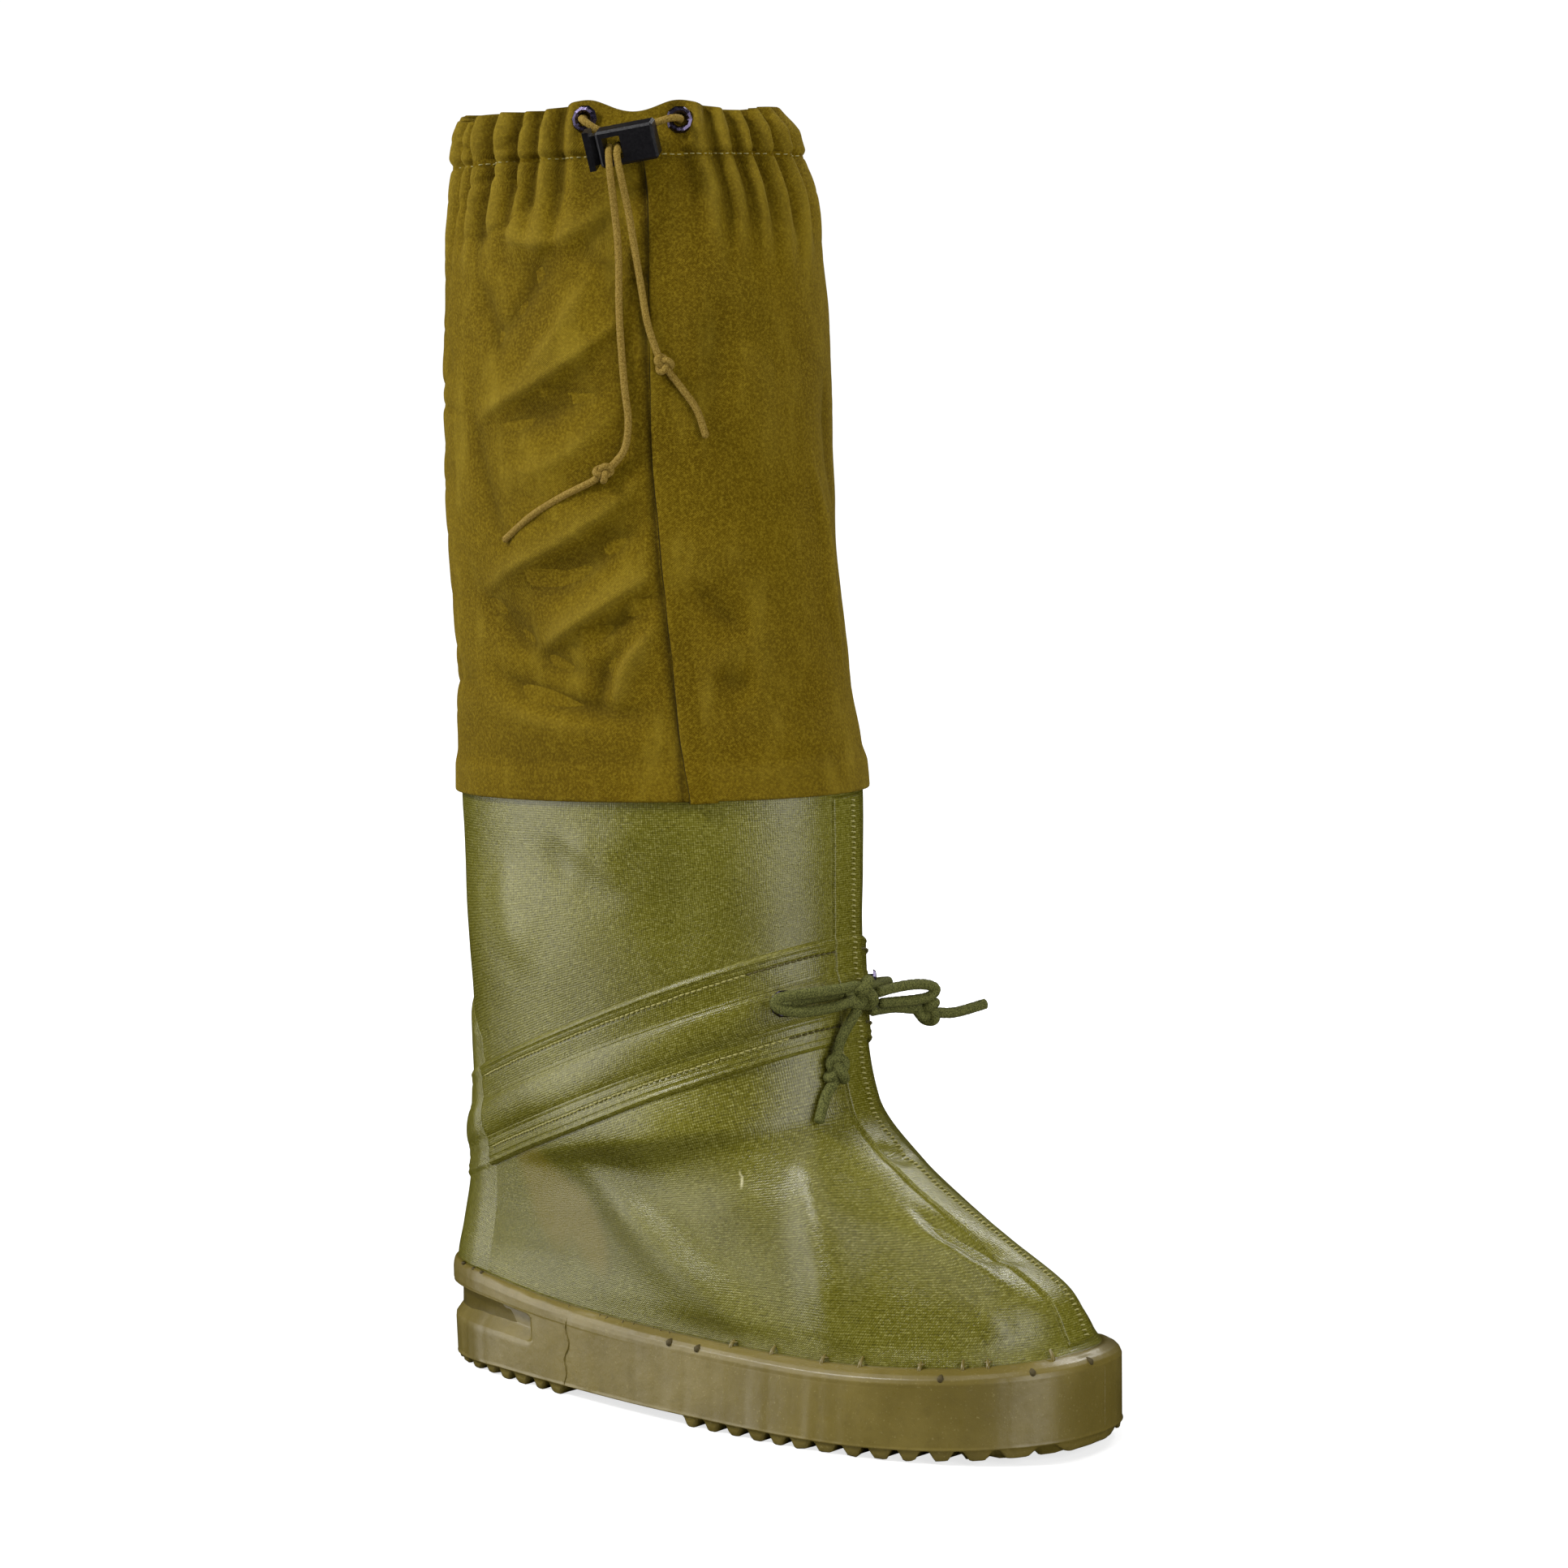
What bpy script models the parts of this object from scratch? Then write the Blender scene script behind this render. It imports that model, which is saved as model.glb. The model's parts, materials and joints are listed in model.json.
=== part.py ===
"""Knee-high pull-on overshoe for the right foot.

A moulded sole with a side wall carries a boot of coated fabric. A cotton shaft is sewn to the boot's top and gathered
by an elastic drawcord. A cord in a sewn band closes the ankle.

Metres. +X runs to the toe, +Y to the wearer's other foot, +Z up. The origin is under the middle of the heel, on the
floor.
"""

import math

import bmesh
import bpy
import numpy as np
from mathutils import Matrix, Vector

# ---- driving dimensions ----
GAP = 0.0003  # between pieces that lie on each other
OVERLAY_GAP = 0.0005  # under overlays whose facets cross the boot's
SIDES = 48  # facets round every section of sole, boot and shaft
AXIS_X = 0.060  # the leg's axis, where the height of a sloping ring is measured

# Sole
LUG_DEPTH = 0.0045
HEEL_DROP = 0.0022  # how much lower the side wall reaches round the back of the heel
LUG_PITCH = 0.0113
HEEL_LUGS = range(-4, 5)  # bars counted from the one under the middle of the heel
FOREFOOT_LUGS = 14
FIRST_FOREFOOT_LUG = 0.1274
TOE_SPRING = 0.0046
SPRING_START = 0.190
SPRING_END = 0.280
FOOTBED = 0.0125
INSOLE_THICK = 0.0020
RIM_LIP = 0.0020  # thickness of the side wall's top edge
GROOVE_DEPTH = 0.0034  # of the groove round the back of the heel
GROOVE_WALL = 0.0008  # least rubber behind the groove
GROOVE_END = 0.031  # x where the groove ends on each side

# Boot and shaft
WALL = 0.0014
SHAFT_WALL = 0.0012
HEM = 0.2565  # lower edge of the shaft
HEM_HEIGHT = 0.0160
HEM_STEP = 0.0012  # how far the hem stands out from the shaft
SHAFT_SLOPE = 0.047
TUNNEL_SEAM = 0.5215
SHAFT_TOP = 0.5425
TUNNEL_LIFT = 0.0016  # how far the drawcord's tunnel stands out
FOLDS = 16  # gathers round the top
FOLD_DEPTH = 0.0030

# Overlays
TAPE_SHIFT = 0.006  # the front seam runs a little to the inner side
TAPE_HALF = 0.010
TAPE_THICK = 0.0008
COUNTER_TURN = math.radians(43)  # half the turn that the heel counter covers
BAND_SLOPE = 0.40
BAND_FLANGE = 0.0009
BAND_TUNNEL = 0.0028
SEAM_TURN = math.radians(-52)

# Cords and fittings
DRAWCORD = 0.0030
ANKLE_CORD = 0.0045
EYELET_BORE = 0.0030
EYELET_EDGE = 0.0008  # thickness of the eyelet's metal
EYELET_RADIUS = 0.0058
TOP_EYELETS = {"front": (0.5362, -37.0), "back": (0.5368, -70.5)}  # height, and turn about the leg in degrees
ANKLE_EYELETS = {"outer": (0.1762, -27.0), "inner": (0.1780, 27.0)}
LOCK_TURN = math.radians(-54)
LOCK_HEIGHT = 0.5270
LOCK_LIFT = 0.0122  # of its middle, from the leg's face
LOCK_LENGTH = 0.0242
LOCK_WIDTH = 0.0152
LOCK_DEPTH = 0.0100
LOCK_ROLL = math.radians(10)  # its front end is the higher one
LOCK_NOD = math.radians(-16)  # its face looks down a little

# Rim of the sole's side wall along the foot, and how far the wall stands out beyond the boot: under the rim, and at
# the tread
RIM_COLUMNS = ("x", "rim", "bulge", "tread")
RIM = (
    (-0.045, 0.0450, 0.0033, 0.0012),
    (-0.010, 0.0440, 0.0037, 0.0028),
    (0.045, 0.0400, 0.0052, 0.0034),
    (0.110, 0.0370, 0.0070, 0.0070),
    (0.180, 0.0355, 0.0080, 0.0102),
    (0.240, 0.0380, 0.0085, 0.0092),
    (0.290, 0.0436, 0.0083, 0.0085),
)

# Face that boot and shaft lie on, one row a level: ends of the section, where it is widest, half its width there,
# how square its two ends are, and how far its front end lies towards the other foot
LEG_COLUMNS = ("z", "back", "front", "widest", "half", "back_power", "front_power", "toe_in")
LEG = (
    (0.000, -0.0410, 0.2760, 0.177, 0.0520, 3.20, 2.40, 0.014),
    (0.035, -0.0430, 0.2770, 0.177, 0.0525, 3.20, 2.40, 0.014),
    (0.045, -0.0430, 0.2700, 0.172, 0.0525, 3.10, 2.30, 0.014),
    (0.060, -0.0407, 0.2635, 0.158, 0.0515, 2.90, 2.10, 0.012),
    (0.080, -0.0388, 0.2350, 0.135, 0.0505, 2.60, 2.05, 0.009),
    (0.105, -0.0375, 0.1945, 0.110, 0.0520, 2.40, 2.00, 0.006),
    (0.130, -0.0350, 0.1688, 0.088, 0.0550, 2.30, 2.00, 0.003),
    (0.160, -0.0352, 0.1625, 0.072, 0.0580, 2.15, 2.00, 0.001),
    (0.200, -0.0380, 0.1590, 0.064, 0.0620, 2.05, 2.00, 0.000),
    (0.255, -0.0395, 0.1585, 0.060, 0.0645, 2.00, 2.00, 0.000),
    (0.310, -0.0395, 0.1490, 0.057, 0.0650, 2.00, 2.00, 0.000),
    (0.370, -0.0440, 0.1395, 0.052, 0.0665, 2.00, 2.00, 0.000),
    (0.430, -0.0445, 0.1360, 0.049, 0.0675, 2.00, 2.00, 0.000),
    (0.480, -0.0445, 0.1335, 0.047, 0.0645, 2.00, 2.00, 0.000),
    (0.505, -0.0388, 0.1285, 0.046, 0.0605, 2.00, 2.00, 0.000),
    (0.530, -0.0338, 0.1170, 0.045, 0.0565, 2.00, 2.00, 0.000),
    (0.545, -0.0335, 0.1140, 0.044, 0.0550, 2.00, 2.00, 0.000),
)

# Rings of the boot above the sole's rim: height at the leg's axis, slope to the front
BOOT_RINGS = (
    (0.0600, 0.03),
    (0.0710, 0.09),
    (0.0840, 0.17),
    (0.1000, 0.28),
    (0.1170, BAND_SLOPE),
    (0.1295, BAND_SLOPE),
    (0.1380, BAND_SLOPE),
    (0.1465, BAND_SLOPE),
    (0.1615, BAND_SLOPE),
    (0.1800, 0.33),
    (0.2020, 0.22),
    (0.2240, 0.12),
    (0.2450, SHAFT_SLOPE),
    (0.2565, SHAFT_SLOPE),
    (0.2680, SHAFT_SLOPE),
    (0.2760, SHAFT_SLOPE),
)
BAND_RING = 4  # the band's lower edge in the table above

# Rings of the shaft: height at the leg's axis, slope, how far the wall stands out, and how much of the gathers shows
SHAFT_RINGS = (
    (HEM, SHAFT_SLOPE, 0.0006, 0.0),
    (HEM + 0.0010, SHAFT_SLOPE, HEM_STEP, 0.0),
    (HEM + HEM_HEIGHT - 0.0010, SHAFT_SLOPE, HEM_STEP, 0.0),
    (HEM + HEM_HEIGHT, SHAFT_SLOPE, 0.0, 0.0),
    (0.310, SHAFT_SLOPE, 0.0, 0.0),
    (0.350, SHAFT_SLOPE, 0.0, 0.0),
    (0.395, 0.044, 0.0, 0.0),
    (0.435, 0.039, 0.0, 0.0),
    (0.475, 0.035, 0.0, 0.15),
    (0.500, 0.032, 0.0, 0.45),
    (TUNNEL_SEAM - 0.005, 0.031, 0.0, 0.80),
    (TUNNEL_SEAM, 0.031, -0.0006, 0.80),
    (0.5280, 0.020, TUNNEL_LIFT, 1.00),
    (0.5370, 0.010, 0.75 * TUNNEL_LIFT, 0.90),
    (SHAFT_TOP, 0.000, -0.0016, 0.70),
)

# How the top edge rises and falls round the leg: turn in degrees, rise, and half width of the wave in degrees
TOP_EDGE = (
    (-37.0, 0.0028, 9.0),
    (-54.0, -0.0024, 11.0),
    (-70.5, 0.0030, 9.0),
    (-98.0, -0.0014, 16.0),
    (-132.0, -0.0042, 15.0),
    (-12.0, -0.0014, 10.0),
    (22.0, 0.0012, 12.0),
    (60.0, -0.0030, 20.0),
    (110.0, -0.0014, 24.0),
    (165.0, 0.0010, 18.0),
)


def column(table, columns, name, at):
    """A column of a table at a value of its first column, on a smooth curve that never overshoots a row."""
    rows = np.array(table, float)
    x, y = rows[:, 0], rows[:, columns.index(name)]
    step = np.diff(x)
    rise = np.diff(y) / step
    slope = np.concatenate(([rise[0]], np.zeros(len(x) - 2), [rise[-1]]))
    for i in range(1, len(x) - 1):
        if rise[i - 1] * rise[i] > 0:
            slope[i] = 2 * rise[i - 1] * rise[i] / (rise[i - 1] + rise[i])
    at = np.clip(np.asarray(at, float), x[0], x[-1])
    i = np.clip(np.searchsorted(x, at) - 1, 0, len(step) - 1)
    t = (at - x[i]) / step[i]
    low = y[i] * (1 + 2 * t) * (1 - t) ** 2 + slope[i] * step[i] * t * (1 - t) ** 2
    high = y[i + 1] * t * t * (3 - 2 * t) - slope[i + 1] * step[i] * t * t * (1 - t)
    return low + high


def rim_value(name, x):
    return column(RIM, RIM_COLUMNS, name, x)


def spring(x):
    """How far the sole lifts off the floor towards the toe."""
    return TOE_SPRING * np.clip((x - SPRING_START) / (SPRING_END - SPRING_START), 0, 1.2) ** 2


def leg_section(z, phi):
    """Points of the leg's face at heights z. phi is 0 at the front, and a quarter turn at the other foot's side."""
    value = {name: column(LEG, LEG_COLUMNS, name, z) for name in LEG_COLUMNS[1:]}
    c, s = np.cos(phi), np.sin(phi)
    power = np.where(c >= 0, value["front_power"], value["back_power"])
    reach = np.where(c >= 0, value["front"] - value["widest"], value["widest"] - value["back"])
    x = value["widest"] + np.sign(c) * reach * np.abs(c) ** (2 / power)
    y = value["half"] * np.sign(s) * np.abs(s) ** (2 / power)
    return x, y + value["toe_in"] * np.clip((x - 0.06) / 0.2, 0, 1) ** 2


def leg_point(z, phi):
    return np.stack((*leg_section(z, phi), z), axis=-1)


def leg_normal(z, phi):
    """Outward unit normals of the leg's face."""
    turn, rise = 0.03, 0.002
    along = leg_point(z, phi + turn) - leg_point(z, phi - turn)
    up = leg_point(z + rise, phi) - leg_point(z - rise, phi)
    normal = np.cross(along, up)
    return normal / np.linalg.norm(normal, axis=-1, keepdims=True)


def flat(normal):
    """Normals turned level."""
    level = normal * (1, 1, 0)
    return level / np.linalg.norm(level, axis=-1, keepdims=True)


def ring_heights(height_at, phi):
    """Heights of a ring whose height depends on x."""
    z = np.full_like(phi, 0.1)
    for _ in range(30):
        z = 0.5 * z + 0.5 * height_at(leg_section(z, phi)[0])
    return z


def slope_ring(height, slope, phi):
    return ring_heights(lambda x: height + slope * (x - AXIS_X), phi)


def footbed(x):
    return FOOTBED + 0.8 * spring(x)


def wall_ring(share, phi):
    """Heights between the footbed, share 0, and the rim, share 1."""
    return ring_heights(lambda x: footbed(x) + share * (rim_value("rim", x) - footbed(x)), phi)


PHI = np.arange(SIDES) * 2 * math.pi / SIDES

# ---- build ----


def clear_scene():
    for thing in list(bpy.data.objects):
        bpy.data.objects.remove(thing, do_unlink=True)


def material(name, colour, roughness, metallic=0.0):
    made = bpy.data.materials.new(name)
    made.use_nodes = True
    shader = made.node_tree.nodes["Principled BSDF"]
    shader.inputs["Base Color"].default_value = (*colour, 1)
    shader.inputs["Roughness"].default_value = roughness
    shader.inputs["Metallic"].default_value = metallic
    made.diffuse_color = (*colour, 1)
    return made


def add_mesh(name, mesh, finish):
    """A mesh from a bmesh, with its faces turned out, as an object."""
    bmesh.ops.remove_doubles(mesh, verts=mesh.verts, dist=1e-6)
    bmesh.ops.recalc_face_normals(mesh, faces=mesh.faces)
    data = bpy.data.meshes.new(name)
    mesh.to_mesh(data)
    mesh.free()
    data.materials.append(finish)
    data.shade_smooth()
    data.set_sharp_from_angle(angle=math.radians(35))
    made = bpy.data.objects.new(name, data)
    bpy.context.collection.objects.link(made)
    return made


def loft(name, rings, finish, around=True, caps=False):
    """Faces between rings of the same number of points. With around, the last ring joins the first. With caps, the
    first and last ring are closed by faces between each point and its partner counted from the other end."""
    mesh = bmesh.new()
    rows = [[mesh.verts.new(Vector(map(float, point))) for point in ring] for ring in rings]
    count = len(rows[0])
    pairs = list(zip(rows, rows[1:]))
    if around:
        pairs.append((rows[-1], rows[0]))
    for low, high in pairs:
        for i in range(count):
            j = (i + 1) % count
            mesh.faces.new((low[i], low[j], high[j], high[i]))
    if caps:
        for row in (rows[0], rows[-1]):
            for i in range(count // 2):
                corners = (row[i], row[i + 1], row[-2 - i], row[-1 - i])
                if len({id(corner) for corner in corners}) == 4:
                    mesh.faces.new(corners)
    return add_mesh(name, mesh, finish)


def offset_wall(z, phi, lift):
    """Points of a level stretch of wall, moved level."""
    return leg_point(z, phi) + flat(leg_normal(z, phi)) * np.asarray(lift)[..., None]


def offset_face(z, phi, lift):
    return leg_point(z, phi) + leg_normal(z, phi) * np.asarray(lift)[..., None]


def boot_levels(phi):
    """Heights of every ring of the boot's outer face, from the footbed up."""
    low = [wall_ring(share, phi) for share in (0.0, 0.5, 1.0)]
    over_rim = ring_heights(lambda x: rim_value("rim", x) + 0.007, phi)
    return low + [over_rim] + [slope_ring(height, slope, phi) for height, slope in BOOT_RINGS]


OVER_RIM = 3  # the ring over the sole's rim in boot_levels
FIRST_SLOPED = 4
BAND_ROW = FIRST_SLOPED + BAND_RING
HEM_ROW = FIRST_SLOPED + 13


def boot_outer(phi):
    levels = boot_levels(phi)
    levels[0] = levels[0] + GAP
    return [leg_point(z, phi) for z in levels]


def make_upper(finish):
    outer = boot_outer(PHI)
    levels = boot_levels(PHI)
    skipped = (3, 5, 9, 11, 13, 15, 17, 18)
    inner = [offset_face(z, PHI, -WALL) for z in levels]
    inner[0] = offset_wall(levels[0] + GAP, PHI, -WALL)
    inner[1] = offset_wall(levels[1], PHI, -WALL)
    inner[-1] = offset_wall(levels[-1], PHI, -WALL)
    kept = [ring for i, ring in enumerate(inner) if i not in skipped]
    return loft("upper", outer + kept[::-1], finish)


def make_outsole(finish):
    rim_z = wall_ring(1.0, PHI)
    x = leg_section(rim_z, PHI)[0]
    base_z = LUG_DEPTH + spring(x) - HEEL_DROP * np.clip((0.010 - x) / 0.040, 0, 1)
    bulge, tread = rim_value("bulge", x), rim_value("tread", x)
    groove = np.clip((GROOVE_END - x) / 0.004, 0, 1) * GROOVE_DEPTH

    def outer(z, dip=0.0):
        share = (z - base_z) / (rim_z - 0.006 - base_z)
        lift = np.maximum(tread + (bulge - tread) * share - dip, GAP + GROOVE_WALL)
        return offset_wall(rim_z, PHI, lift) * (1, 1, 0) + np.stack((0 * z, 0 * z, z), axis=-1)

    def at_rim(lift, drop):
        z = rim_z - drop
        return offset_wall(rim_z, PHI, lift) * (1, 1, 0) + np.stack((0 * z, 0 * z, z), axis=-1)

    rings = [outer(base_z, 0.0010), outer(base_z + 0.0012)]
    for drop, dip in ((0.0235, 0.0), (0.0190, groove), (0.0150, groove), (0.0105, 0.0)):
        share = 1 - drop / 0.045
        rings.append(outer(base_z + (rim_z - base_z) * share, dip))
    rings += [at_rim(bulge, 0.0065), at_rim(0.72 * bulge + 0.28 * RIM_LIP, 0.0022), at_rim(RIM_LIP, 0.0)]
    rings.append(at_rim(GAP, 0.0))
    levels = boot_levels(PHI)
    rings += [offset_wall(levels[1], PHI, GAP), offset_wall(levels[0], PHI, GAP)]
    sole = half_capped("outsole", rings, finish)
    unite(sole, make_lugs(rings[0]))
    return sole


def half_capped(name, rings, finish):
    """A cup: its first and last rings are closed by faces from one side of the foot to the other."""
    mesh = bmesh.new()
    rows = [[mesh.verts.new(Vector(map(float, point))) for point in ring] for ring in rings]
    for low, high in zip(rows, rows[1:]):
        for i in range(SIDES):
            j = (i + 1) % SIDES
            mesh.faces.new((low[i], low[j], high[j], high[i]))
    for row in (rows[0], rows[-1]):
        half = SIDES // 2
        mesh.faces.new((row[0], row[1], row[-1]))
        mesh.faces.new((row[half], row[half - 1], row[half + 1]))
        for i in range(1, half - 1):
            mesh.faces.new((row[i], row[i + 1], row[-1 - i], row[-i]))
    return add_mesh(name, mesh, finish)


def lug_places():
    heel = [i * LUG_PITCH for i in HEEL_LUGS]
    forefoot = [FIRST_FOREFOOT_LUG + i * LUG_PITCH for i in range(FOREFOOT_LUGS)]
    return heel + forefoot


def make_lugs(edge):
    """Bars across the tread, as wide as the sole at their place."""
    sides = {}
    half = SIDES // 2
    for name, part in (("inner", edge[: half + 1]), ("outer", np.vstack((edge[half:], edge[:1])))):
        order = np.argsort(part[:, 0])
        sides[name] = part[order]
    mesh = bmesh.new()
    for x in lug_places():
        bottom = float(spring(x))
        top = bottom + LUG_DEPTH + 0.0012
        corners = []
        for z, half_length, inset in ((top, 0.0044, 0.0002), (bottom, 0.0026, 0.0006)):
            for step in (-half_length, half_length):
                place = max(x + step, edge[:, 0].min() + 3 * inset)
                inner = np.interp(place, sides["inner"][:, 0], sides["inner"][:, 1]) - inset
                outer = np.interp(place, sides["outer"][:, 0], sides["outer"][:, 1]) + inset
                corners.append([mesh.verts.new((place, y, z)) for y in (outer, inner)])
        (a, b), (c, d), (e, f), (g, h) = corners
        for face in ((a, b, d, c), (e, f, h, g), (a, b, f, e), (c, d, h, g), (a, c, g, e), (b, d, h, f)):
            mesh.faces.new(face)
    return add_mesh("guide_lugs", mesh, bpy.data.materials["sole rubber"])


def hide_tool(tool):
    tool.hide_render = True
    tool.display_type = "WIRE"


def unite(target, tool):
    hide_tool(tool)
    joined = target.modifiers.new("Joined", "BOOLEAN")
    joined.operation = "UNION"
    joined.object = tool


def cut(target, tool):
    hide_tool(tool)
    taken = target.modifiers.new("Cut", "BOOLEAN")
    taken.operation = "DIFFERENCE"
    taken.object = tool


def make_insole(finish):
    z = wall_ring(0.0, PHI)
    edge = offset_wall(z, PHI, -WALL - GAP)
    low, high = edge + (0, 0, GAP), edge + (0, 0, GAP + INSOLE_THICK)
    return half_capped("insole", [low, high], finish)


def skin_grid(phi):
    """Points and normals of the boot's outer face at every ring, for the angles of one ring each."""
    levels = boot_levels(phi)
    return np.array([leg_point(z, phi) for z in levels]), np.array([leg_normal(z, phi) for z in levels])


SKIN, SKIN_NORMAL = skin_grid(PHI)


def on_skin(row, turn, lift):
    """A point of the boot's faceted face at a ring number and a column number, both with fractions, lifted."""
    low, left = int(math.floor(row)), int(math.floor(turn))
    high = min(low + 1, len(SKIN) - 1)
    up, across = row - low, turn - left
    place, normal = np.zeros(3), np.zeros(3)
    for ring, ring_share in ((low, 1 - up), (high, up)):
        for side, side_share in ((left, 1 - across), (left + 1, across)):
            place = place + ring_share * side_share * SKIN[ring, side % SIDES]
            normal = normal + ring_share * side_share * SKIN_NORMAL[ring, side % SIDES]
    return place + normal / np.linalg.norm(normal) * lift


def turn_at(row, reach):
    """The column number at a distance along a ring from the front, positive towards the other foot."""
    way = 1 if reach >= 0 else -1
    done, turn = 0.0, 0
    while True:
        step = np.linalg.norm(on_skin(row, turn + way, 0) - on_skin(row, turn, 0))
        if done + step >= abs(reach):
            return turn + way * (abs(reach) - done) / step
        done += step
        turn += way


def make_front_tape(finish):
    loops = []
    shares = (-1.0, -0.5, 0.0, 0.5, 1.0)
    rows = [2.2] + list(range(OVER_RIM, HEM_ROW)) + [HEM_ROW - 0.06]
    for row in rows:
        turns = [turn_at(row, TAPE_SHIFT + share * TAPE_HALF) for share in shares]
        under = [on_skin(row, turn, OVERLAY_GAP) for turn in turns]
        over = [on_skin(row, turn, OVERLAY_GAP + TAPE_THICK) for turn in turns]
        loops.append(under + over[::-1])
    return loft("front_tape", loops, finish, around=False, caps=True)


def make_heel_counter(finish):
    """An arched patch over the back of the heel. It narrows to its top."""
    middle = SIDES / 2
    half_turn = COUNTER_TURN / (2 * math.pi) * SIDES
    whole = int(half_turn)
    shares = np.array([-half_turn, *range(-whole, whole + 1), half_turn]) / half_turn
    loops = []
    for row in [2.2, *range(OVER_RIM, 15)]:
        under = [on_skin(row, middle + share * half_turn, OVERLAY_GAP) for share in shares]
        over = [on_skin(row, middle + share * half_turn, OVERLAY_GAP + TAPE_THICK) for share in shares]
        loops.append(under + over[::-1])
    counter = loft("heel_counter", loops, finish, around=False, caps=True)
    kept = counter.modifiers.new("Arch", "BOOLEAN")
    kept.operation = "INTERSECT"
    kept.object = make_arch()
    hide_tool(kept.object)
    return counter


def make_arch():
    """A block whose arched top is the outline of the counter's upper edge."""
    half = ((0.000, 0.1710), (0.013, 0.1690), (0.025, 0.1630), (0.034, 0.1530), (0.040, 0.1420), (0.080, 0.1420))
    outline = [(-y, z) for y, z in half[::-1]] + list(half[1:]) + [(0.080, 0.020), (-0.080, 0.020)]
    rings = [[(x, y, z) for y, z in outline] for x in (-0.060, 0.050)]
    mesh = bmesh.new()
    near, far = [[mesh.verts.new(point) for point in ring] for ring in rings]
    mesh.faces.new(near)
    mesh.faces.new(far)
    for i in range(len(outline)):
        j = (i + 1) % len(outline)
        mesh.faces.new((near[i], near[j], far[j], far[i]))
    return add_mesh("guide_arch", mesh, bpy.data.materials["sole rubber"])


def band_profile(row):
    """Rows and lifts across the band, round its section: under face up, then outer face down."""
    under = [(row + step, OVERLAY_GAP) for step in range(5)]
    outer = [
        (row + 4, BAND_FLANGE),
        (row + 3, BAND_FLANGE),
        (row + 2.72, BAND_TUNNEL),
        (row + 2, 1.1 * BAND_TUNNEL),
        (row + 1.28, BAND_TUNNEL),
        (row + 1, BAND_FLANGE),
        (row, BAND_FLANGE),
    ]
    return under + [(place, OVERLAY_GAP + lift) for place, lift in outer]


def make_ankle_band(side, finish):
    """Half of the band, between the front tape and the heel counter. side is 1 on the other foot's side."""
    profile = band_profile(BAND_ROW)
    tape_edge = TAPE_SHIFT * side + TAPE_HALF + GAP + 0.0002
    counter_turn = SIDES / 2 - COUNTER_TURN / (2 * math.pi) * SIDES - 0.08
    first_turn = max(abs(turn_at(row, side * tape_edge)) for row, _ in profile)
    first_column = math.floor(first_turn + 0.15) + 1
    loops = []
    steps = [None] + list(range(first_column, int(counter_turn) + 1)) + [counter_turn]
    for step in steps:
        loop = []
        for row, lift in profile:
            turn = turn_at(row, side * tape_edge) if step is None else side * step
            loop.append(on_skin(row, turn, lift))
        loops.append(loop)
    name = "ankle_band_inner" if side > 0 else "ankle_band_outer"
    mesh = bmesh.new()
    rows = [[mesh.verts.new(Vector(map(float, point))) for point in loop] for loop in loops]
    count = len(profile)
    for low, high in zip(rows, rows[1:]):
        for i in range(count):
            mesh.faces.new((low[i], low[(i + 1) % count], high[(i + 1) % count], high[i]))
    for row in (rows[0], rows[-1]):
        mesh.faces.new(row)
    return add_mesh(name, mesh, finish)


def gather(phi, amount):
    """Lift of the gathered folds round the top. They flatten out behind the cord lock and its eyelets."""
    fold = np.cos(FOLDS * phi)
    behind_lock = np.exp(-(((phi - LOCK_TURN + math.pi) % (2 * math.pi) - math.pi) / math.radians(27)) ** 4)
    return FOLD_DEPTH * amount * fold * (1 - behind_lock)


def top_edge(phi):
    """How far the top edge rises at a turn."""
    rise = 0
    for turn, height, width in TOP_EDGE:
        away = (phi - math.radians(turn) + math.pi) % (2 * math.pi) - math.pi
        rise = rise + height * np.exp(-((away / math.radians(width)) ** 2))
    return rise


def shaft_ring(height, slope, lift, fold, base=GAP + SHAFT_WALL):
    z = slope_ring(height, slope, PHI)
    raised = z + top_edge(PHI) * np.clip((height - TUNNEL_SEAM) / (SHAFT_TOP - TUNNEL_SEAM), 0, 1) ** 2
    return offset_wall(raised, PHI, base + lift + gather(PHI, fold))


def make_shaft(finish):
    outer = [shaft_ring(*row) for row in SHAFT_RINGS]
    inner = []
    for i in (0, 3, 4, 5, 6, 8, 10, 11, 12, 13, 14):
        height, slope, lift, fold = SHAFT_RINGS[i]
        inner.append(shaft_ring(height, slope, 0.0 if i < 4 else lift, fold, base=GAP))
    return loft("shaft", outer + inner[::-1], finish)


def make_side_seam(finish):
    loops = []
    half = 0.0016
    for height, slope, lift, _ in SHAFT_RINGS[3:11]:
        centre = slope_ring(height, slope, np.array([SEAM_TURN]))
        left = np.array([SEAM_TURN]) - half / 0.062
        right = np.array([SEAM_TURN]) + half / 0.062
        ring = shaft_ring(height, slope, lift, 0.0)
        loop = []
        for rise in (GAP, GAP + 0.0009):
            turns = (left, right) if rise == GAP else (right, left)
            for turn in turns:
                column_number = float(turn[0]) / (2 * math.pi) * SIDES
                low = math.floor(column_number)
                share = column_number - low
                point = ring[low % SIDES] * (1 - share) + ring[(low + 1) % SIDES] * share
                loop.append(point + flat(leg_normal(centre, np.array([SEAM_TURN])))[0] * rise)
        loops.append(loop)
    return loft("side_seam", loops, finish, around=False, caps=True)


def place_frame(point, out, up_hint=(0, 0, 1)):
    """A matrix whose +Z looks along out, and +Y up."""
    out = Vector(out).normalized()
    across = Vector(up_hint).cross(out).normalized()
    up = out.cross(across)
    frame = Matrix((across, up, out)).transposed().to_4x4()
    frame.translation = Vector(point)
    return frame


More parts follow.
